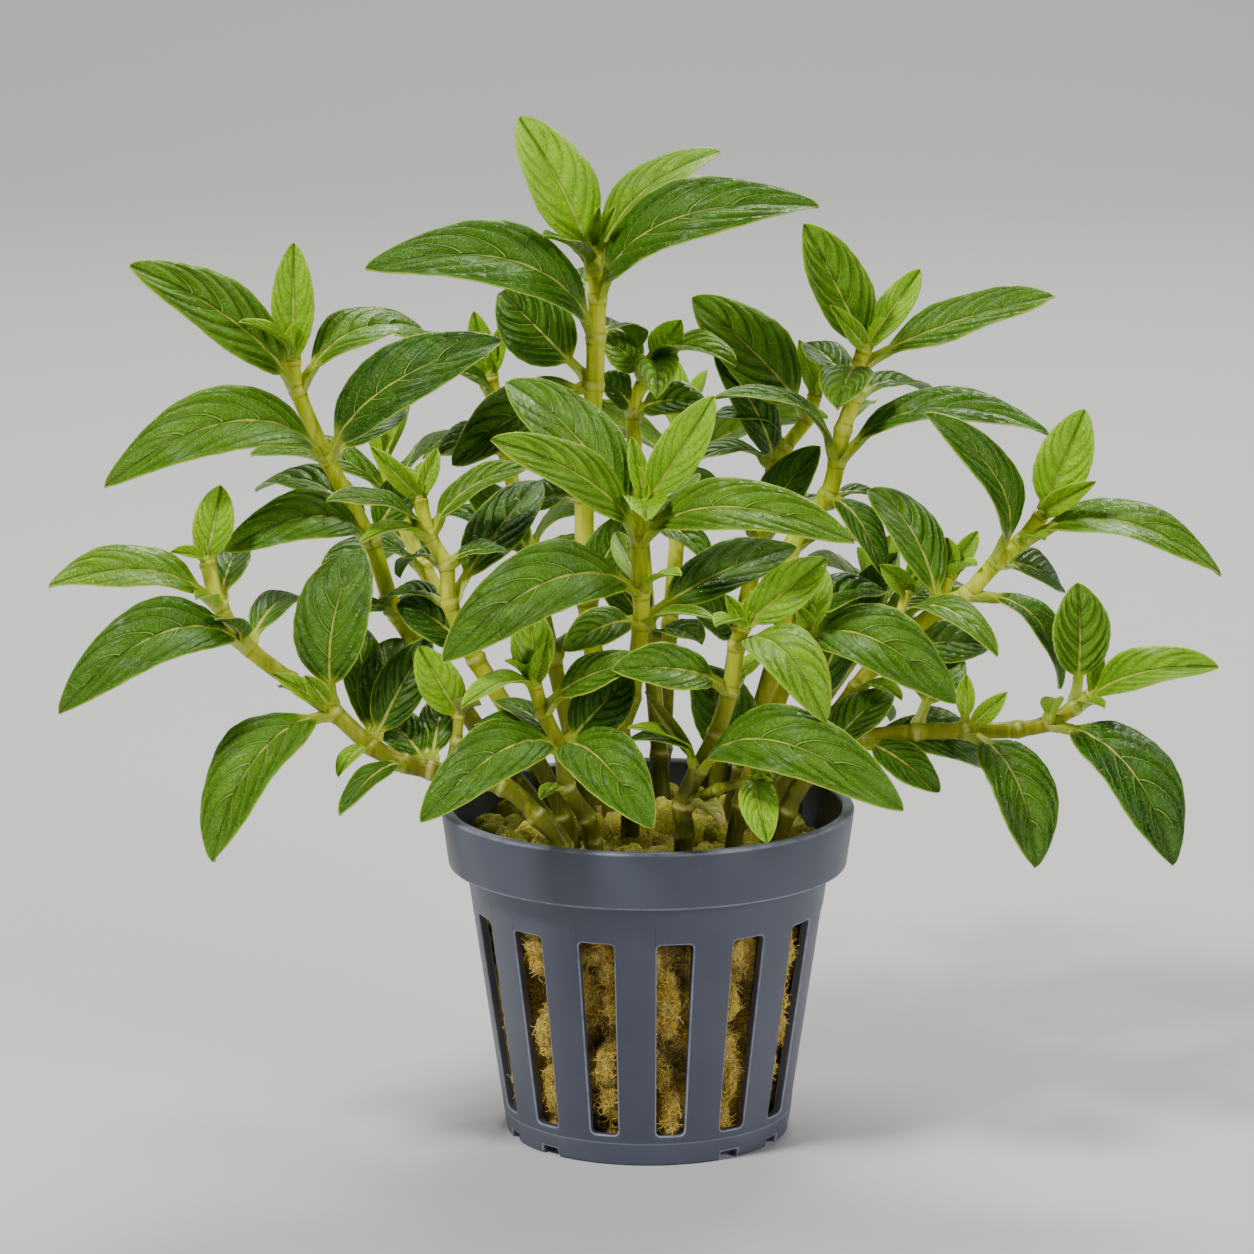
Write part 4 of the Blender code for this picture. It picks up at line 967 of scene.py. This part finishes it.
def pot_profile():
    """Up the outside, over the rim and down the inside, with rounded edges."""
    def body(height, inset=0):
        return body_radius(height) - inset, height

    shelf = COLLAR_FOOT + WALL
    inside = COLLAR_FOOT_RADIUS - WALL
    return [
        (0, 0), (FOOT_RADIUS - EDGE, 0), *arc(body(EDGE, EDGE), EDGE, -70, 0, 4),
        body(FOOT_GROOVE - GROOVE_HALF), body(FOOT_GROOVE, GROOVE_DEPTH),
        body(FOOT_GROOVE + GROOVE_HALF), body(COLLAR_FOOT - 0.9),
        (BODY_TOP_RADIUS + 0.05, COLLAR_FOOT - 0.35), (BODY_TOP_RADIUS + 0.4, COLLAR_FOOT),
        *arc((COLLAR_FOOT_RADIUS - SHELF_EDGE, COLLAR_FOOT + SHELF_EDGE), SHELF_EDGE, -90, 0, 4),
        *arc((RIM_RADIUS - RIM_EDGE, POT_HEIGHT - RIM_EDGE), RIM_EDGE, 0, 90, 5),
        *arc((RIM_INSIDE + RIM_INNER_EDGE, POT_HEIGHT - RIM_INNER_EDGE), RIM_INNER_EDGE, 90, 180, 5),
        (inside - 0.2, shelf + 0.6), (inside - 0.6, shelf), (body_radius(COLLAR_FOOT) - WALL, shelf - 0.8),
        body(FLOOR + 1, WALL), body(FLOOR, WALL + 0.6), (0, FLOOR),
    ]


def around(angle):
    """Turn about the pot's axis from the front, positive towards +X."""
    return Matrix.Rotation(radians(angle), 4, "Z")


def slot_cutter(bm, angle):
    """A tapered slot with rounded corners, turned from the front of the pot."""
    box = bmesh.ops.create_cube(bm, size=1)["verts"]
    for vert in box:
        high = vert.co.z > 0
        vert.co.x *= SLOT_TOP_WIDTH if high else SLOT_BOTTOM_WIDTH
        vert.co.y = -SLOT_CUT_INNER if vert.co.y > 0 else -SLOT_CUT_OUTER
        vert.co.z = SLOT_TOP if high else SLOT_BOTTOM
    along = {edge for vert in box for edge in vert.link_edges
             if abs(edge.verts[0].co.y - edge.verts[1].co.y) > 1}
    bent = bmesh.ops.bevel(bm, geom=list(along), offset=SLOT_CORNER, segments=5, profile=0.5,
                           affect="EDGES", material=-1)["verts"]
    verts = list(set(bent) | {vert for vert in box if vert.is_valid})
    bmesh.ops.rotate(bm, verts=verts, cent=ORIGIN, matrix=around(angle))


def box_cutter(bm, size, centre, angle):
    """A plain box, turned about the pot's axis."""
    place = Matrix.Translation(centre) @ Matrix.Diagonal((*size, 1))
    bmesh.ops.create_cube(bm, size=1, matrix=around(angle) @ place)


def pot_cutters():
    bm, _ = new_mesh()
    for index in range(SLOTS):
        angle = FIRST_SLOT + 360 * index / SLOTS
        slot_cutter(bm, angle)
        if index not in PLAIN_SLOTS:
            box_cutter(bm, NOTCH_SIZE, (0, -FOOT_RADIUS, 0), angle)
    for index in range(DRAINS):
        box_cutter(bm, DRAIN_SIZE, (0, -DRAIN_MIDDLE, 0), 360 * index / DRAINS)
    return finish(bm, "pot_cutter")


def build_pot():
    """A turned profile with its slots cut out, whose bevelled edges take a second material with painted
    highlight patches.
    """
    bm, _ = new_mesh()
    verts, edges = chain(bm, [(radius, 0, height) for radius, height in pot_profile()])
    bmesh.ops.spin(bm, geom=verts + edges, cent=ORIGIN, axis=(0, 0, 1), angle=tau,
                   steps=POT_SIDES, use_merge=True)
    bmesh.ops.remove_doubles(bm, verts=bm.verts, dist=0.001)
    bmesh.ops.rotate(bm, verts=bm.verts, cent=ORIGIN, matrix=around(FIRST_SLOT))
    # The bevels take the second material, which has painted highlight patches.
    plain, edged = plastic_material("pot_plastic", 0), plastic_material("pot_edges", 0.7)
    pot = finish(bm, "pot_shell", plain, edged)
    cutters = pot_cutters()
    give(pot.modifiers.new("Openings", "BOOLEAN"), operation="DIFFERENCE", solver="EXACT", object=cutters)
    give(pot.modifiers.new("Edges", "BEVEL"), width=SLOT_BEVEL * MM, segments=3, limit_method="ANGLE",
         angle_limit=radians(BEVEL_ANGLE), material=1, use_clamp_overlap=False)
    mesh = evaluated(pot)
    pot.modifiers.clear()
    pot.data = mesh
    bpy.data.objects.remove(cutters)
    mesh.shade_smooth()
    mesh.set_sharp_from_angle(angle=radians(SHARP_ANGLE))
    dress(pot, "net_pot")


# ---- rockwool
def lump(point, size):
    """Rounded lumps: (bulge and depth of the crease, from 0 to 1, and the lump's own chance)."""
    warp = Vector((noise.noise(point / size + Vector((9, 0, 0))), noise.noise(point / size), 0))
    near, centres = noise.voronoi(point / size + 0.45 * warp, distance_metric="DISTANCE")
    bulge = sqrt(max(1 - min(near[0] / 0.75, 1) ** 2, 0))
    crease = 1 - ease(0, 0.3, near[1] - near[0])
    return bulge, crease, noise.cell(centres[0] * 7.3)


def off_slot(spot):
    """The angle from a place to the middle of the nearest slot."""
    pitch = 360 / SLOTS
    turn = (degrees(atan2(spot.y, spot.x)) + 90 - FIRST_SLOT) % pitch
    return min(turn, pitch - turn)


def wall_point(way, height, below=0):
    """A point on or below the wall of the plug, this way from the axis, and how much painted shade it gets.
    """
    outer = body_radius(height) - WALL - PLUG_GAP
    spot = lifted(way * outer, height)
    bulge, crease, chance = lump(spot + Vector((3, 7, 1)), WALL_LUMP)
    small, cleft, _ = lump(spot + Vector((1, 2, 5)), SMALL_WALL_LUMP)
    sink = WALL_DEPTH * (1 - bulge) + 0.6 * crease + 0.5 * max(chance, 0)
    sink += 0.45 * (1 - small) + 0.2 * cleft + 0.28 * (1 - noise.fractal(spot / 0.8, 1, 2, 4))
    away = off_slot(spot)
    behind_rib = ease(SLOT_HALF_ANGLE, RIB_ANGLE, away)
    in_slot = 1 - ease(SLOT_BULGE_ANGLE, SLOT_HALF_ANGLE - 0.6, away)
    deep = max(sink - 0.4, 0) * (1 - 0.75 * behind_rib) - SLOT_BULGE * in_slot
    # Darker where the wall sinks in deep, as painted shade.
    return lifted(way * (outer - deep - below), height), 0.65 * ease(1.5, 3.2, sink)


def top_height(spot):
    """Height of the rockwool's lumpy top at a place, and how much painted shade it gets there."""
    bulge, crease, chance = lump(spot + Vector((1, 2, 9)), TOP_LUMP)
    flake, cleft, _ = lump(spot + Vector((8, 1, 4)), SMALL_TOP_LUMP)
    rise = 1.8 * bulge ** 0.7 + 0.4 * flake - 0.9 * crease - 0.3 * cleft - 1.3 * max(chance, 0)
    rise += 0.3 * noise.fractal(spot, 1, 2, 4)
    dome = PLUG_TOP - DOME_SINK + DOME_RISE * (1 - (spot.length / DOME_RADIUS) ** 2)
    # Darker in the low places between lumps, as painted shade.
    return dome + rise, 0.75 * (1 - ease(-0.8, 1.2, rise))


def wall_spot(along, way):
    """The wall of the plug, seen through the slots."""
    return wall_point(way, PLUG_FOOT + (COLLAR_FOOT + 1 - PLUG_FOOT) * along)


def top_spot(along, way):
    """The lumpy top, from which the stems rise."""
    flat = way * (COLLAR_FOOT_RADIUS - WALL - 0.9) * min(along * 1.04, 1)
    height, dark = top_height(flat)
    # Near the pot's wall the top rises to the shelf and is given full painted shade there.
    skirt = ease(0.94, 1, along)
    height += (COLLAR_FOOT + WALL + 0.3 - height) * skirt
    return lifted(flat, height), max(dark, skirt)


def build_plug(name, wool, grid, spot):
    """A part of the plug's skin. Its spot gives a point and how much painted shade it gets, kept in the deep
    attribute.
    """
    bm, (deep,) = new_mesh(["deep"])
    grid = sheet(bm, *grid)
    for vert, along, across in grid:
        vert.co, vert[deep] = spot(along, heading(tau * across))
    close_up(bm, grid)
    return finish(bm, name, wool)


def cut_facets(verts, radius, rng):
    """Press flat facets onto a ball of points round the origin."""
    facets = []
    for _ in range(8):
        way = Vector((rng.gauss(0, 1), rng.gauss(0, 1), rng.gauss(0, 1))).normalized()
        facets.append((way, rng.uniform(0.45, 0.9)))
    for vert in verts:
        way = vert.co.normalized()
        reach = min([1] + [depth / max(way.dot(facet), 0.05) for facet, depth in facets])
        rough = 1 + 0.1 * noise.noise(way * 3 + facets[0][0] * 9)
        vert.co = way * reach * rough * radius


def build_flakes(moss):
    """Loose angular crumbs of rockwool that lie on the top."""
    bm, (deep,) = new_mesh(["deep"])
    rng = random.Random(8)
    for _ in range(FLAKES):
        radius = rng.uniform(*FLAKE_RADII)
        away = (COLLAR_FOOT_RADIUS - WALL - 0.6 - radius) * sqrt(rng.random())
        flat = heading(rng.uniform(0, tau)) * away
        height, dark = top_height(flat)
        made = bmesh.ops.create_icosphere(bm, subdivisions=3, radius=1)["verts"]
        cut_facets(made, radius, rng)
        lie = Matrix.Rotation(rng.uniform(0, tau), 3, "Z")
        stretch = Matrix.Diagonal((rng.uniform(0.8, 1.3), rng.uniform(0.7, 1), rng.uniform(0.8, 1.25)))
        settle = lifted(flat, min(height + 0.2 * radius, PLUG_TOP + 1.6 - 0.4 * radius))
        # Painted shade: crumbs in the top's shaded low places are darker at random, and each crumb darkens
        # towards its bottom.
        tone = 0.35 * dark * rng.random()
        for vert in made:
            vert.co = lie @ (stretch @ vert.co) + settle
            low = ease(0.9, -0.6, (vert.co.z - settle.z) / radius)
            vert[deep] = min(tone + 0.45 * low, 1)
    return finish(bm, "wool_flakes", moss)


def wall_roots(slots, rng):
    """Strands on the wall behind these slots: (root, way, outwards, length)."""
    for _ in range(WALL_STRANDS):
        slot = FIRST_SLOT - 90 + 360 * rng.choice(slots) / SLOTS
        out = heading(radians(slot + rng.uniform(-STRANDS_REACH, STRANDS_REACH)))
        height = rng.uniform(SLOT_BOTTOM - 0.3, SLOT_TOP + 0.6)
        root, dark = wall_point(out, height, 0.06)
        if dark > BARE_DARK and rng.random() < 0.6:
            continue
        turn = tau * noise.noise(root / 2.2) + rng.uniform(-1.2, 1.2)
        way = cos(turn) * Vector((-out.y, out.x, 0)) + sin(turn) * Vector((0, 0, 1))
        way = (way + 0.35 * rng.random() * out).normalized()
        yield root, way, out, rng.uniform(0.7, 1.6)


def top_roots(rng):
    """The same on the top of the plug."""
    for _ in range(TOP_STRANDS):
        angle = rng.uniform(0, tau)
        flat = heading(angle) * TOP_STRANDS_RADIUS * sqrt(rng.random())
        height, dark = top_height(flat)
        if dark <= BARE_DARK:
            way = heading(rng.uniform(0, tau), 0.1)
            yield lifted(flat, height - 0.05), way, Vector((0, 0, 1)), rng.uniform(0.4, 1)


def build_strands(name, strand, roots, rng):
    """Fine curly strands that start along their way and lift off outwards."""
    curve = give(bpy.data.curves.new(name, "CURVE"), dimensions="3D", bevel_depth=STRAND_RADIUS * MM,
                 bevel_resolution=0)
    for spot, way, out, length in roots:
        side = way.cross(out).normalized()
        turn = rng.uniform(-MOST_CURL, MOST_CURL)
        lift = rng.uniform(0, 0.5)
        points = curve.splines.new("POLY").points
        points.add(STRAND_STEPS)
        for index, point in enumerate(points):
            share = index / STRAND_STEPS
            point.co = (*(spot * MM), 1)
            ahead = cos(turn * share) * way + sin(turn * share) * side + lift * share * out
            spot = spot + ahead.normalized() * length / STRAND_STEPS
    rough = link(name + "_curve", curve)
    mesh = evaluated(rough)
    mesh.materials.clear()
    mesh.materials.append(strand)
    bpy.data.objects.remove(rough)
    return link(name, mesh)


def build_rockwool():
    wool = wool_material("wool_ochre", WOOL_DARK, WOOL_OCHRE, WOOL_LIGHT, WOOL_GOLD, 1)
    moss = wool_material("wool_mossy", MOSS_DARK, MOSS_OLIVE, MOSS_LIGHT, MOSS_BROWN, 0.7)
    strand = fibre_material()
    front = (*range(4), *range(SLOTS - 4, SLOTS))
    back = range(4, SLOTS - 4)
    pieces = [build_plug("wool_wall", wool, WALL_GRID, wall_spot),
              build_plug("wool_top", moss, TOP_GRID, top_spot), build_flakes(moss)]
    for name, slots in (("wool_strands_front", front), ("wool_strands_back", back)):
        rng = random.Random(5 + slots[0])
        pieces.append(build_strands(name, strand, wall_roots(slots, rng), rng))
    rng = random.Random(6)
    pieces.append(build_strands("wool_strands_top", strand, top_roots(rng), rng))
    for piece in pieces:
        dress(piece, "rockwool_plug")


# ---- studio
def build_stage():
    """A plain pale floor that curves up behind."""
    bm, _ = new_mesh()
    bend = arc((STAGE_BEND, STAGE_CURVE), STAGE_CURVE, -90, 0, 16)
    profile = [(STAGE_FRONT, 0), *bend, STAGE_BACK]
    _, edges = chain(bm, [(-STAGE_HALF, y, z) for y, z in profile])
    for item in bmesh.ops.extrude_edge_only(bm, edges=edges)["geom"]:
        if isinstance(item, bmesh.types.BMVert):
            item.co.x = STAGE_HALF
    finish(bm, "floor", Shader("floor_paint").finish(base_color=PAPER, roughness=0.8))


def add_lamp(kind, name, place, power, aim, **settings):
    lamp = give(bpy.data.lights.new(name, kind), energy=power, **settings)
    turn = (Vector(aim) - Vector(place)).to_track_quat("-Z", "Y").to_euler()
    give(link(name, lamp), location=place, rotation_euler=turn)


def build_lights():
    """Soft boxes, and a narrow lamp on each side that brightens the pot."""
    for name, place, power, size in SOFT_BOXES:
        add_lamp("AREA", name, place, power, PLANT_AIM, size=size)
    for name, place, power in SPOTS:
        add_lamp("SPOT", name, place, power, POT_AIM, spot_size=radians(POT_BEAM),
                 spot_blend=BEAM_SOFTNESS, shadow_soft_size=SPOT_RADIUS * MM)
    world = give(bpy.data.worlds.new("studio"), use_nodes=True)
    bpy.context.scene.world = world
    sky = world.node_tree.nodes["Background"].inputs
    sky["Color"].default_value = (*SKY, 1)
    sky["Strength"].default_value = SKY_POWER


def build_camera():
    """Level with the plant and a little above it."""
    lens = give(bpy.data.cameras.new("camera"), lens=LENS, sensor_width=36, clip_start=0.01)
    tilt = radians(VIEW_ELEVATION)
    away = Vector((0, -cos(tilt), sin(tilt)))
    bpy.context.scene.camera = give(link("camera", lens), rotation_euler=(pi / 2 - tilt, 0, 0),
                                    location=(Vector(VIEW_TARGET) + VIEW_DISTANCE * away) * MM)


build_camera()
build_stage()
build_lights()
build_pot()
build_rockwool()
build_plant()
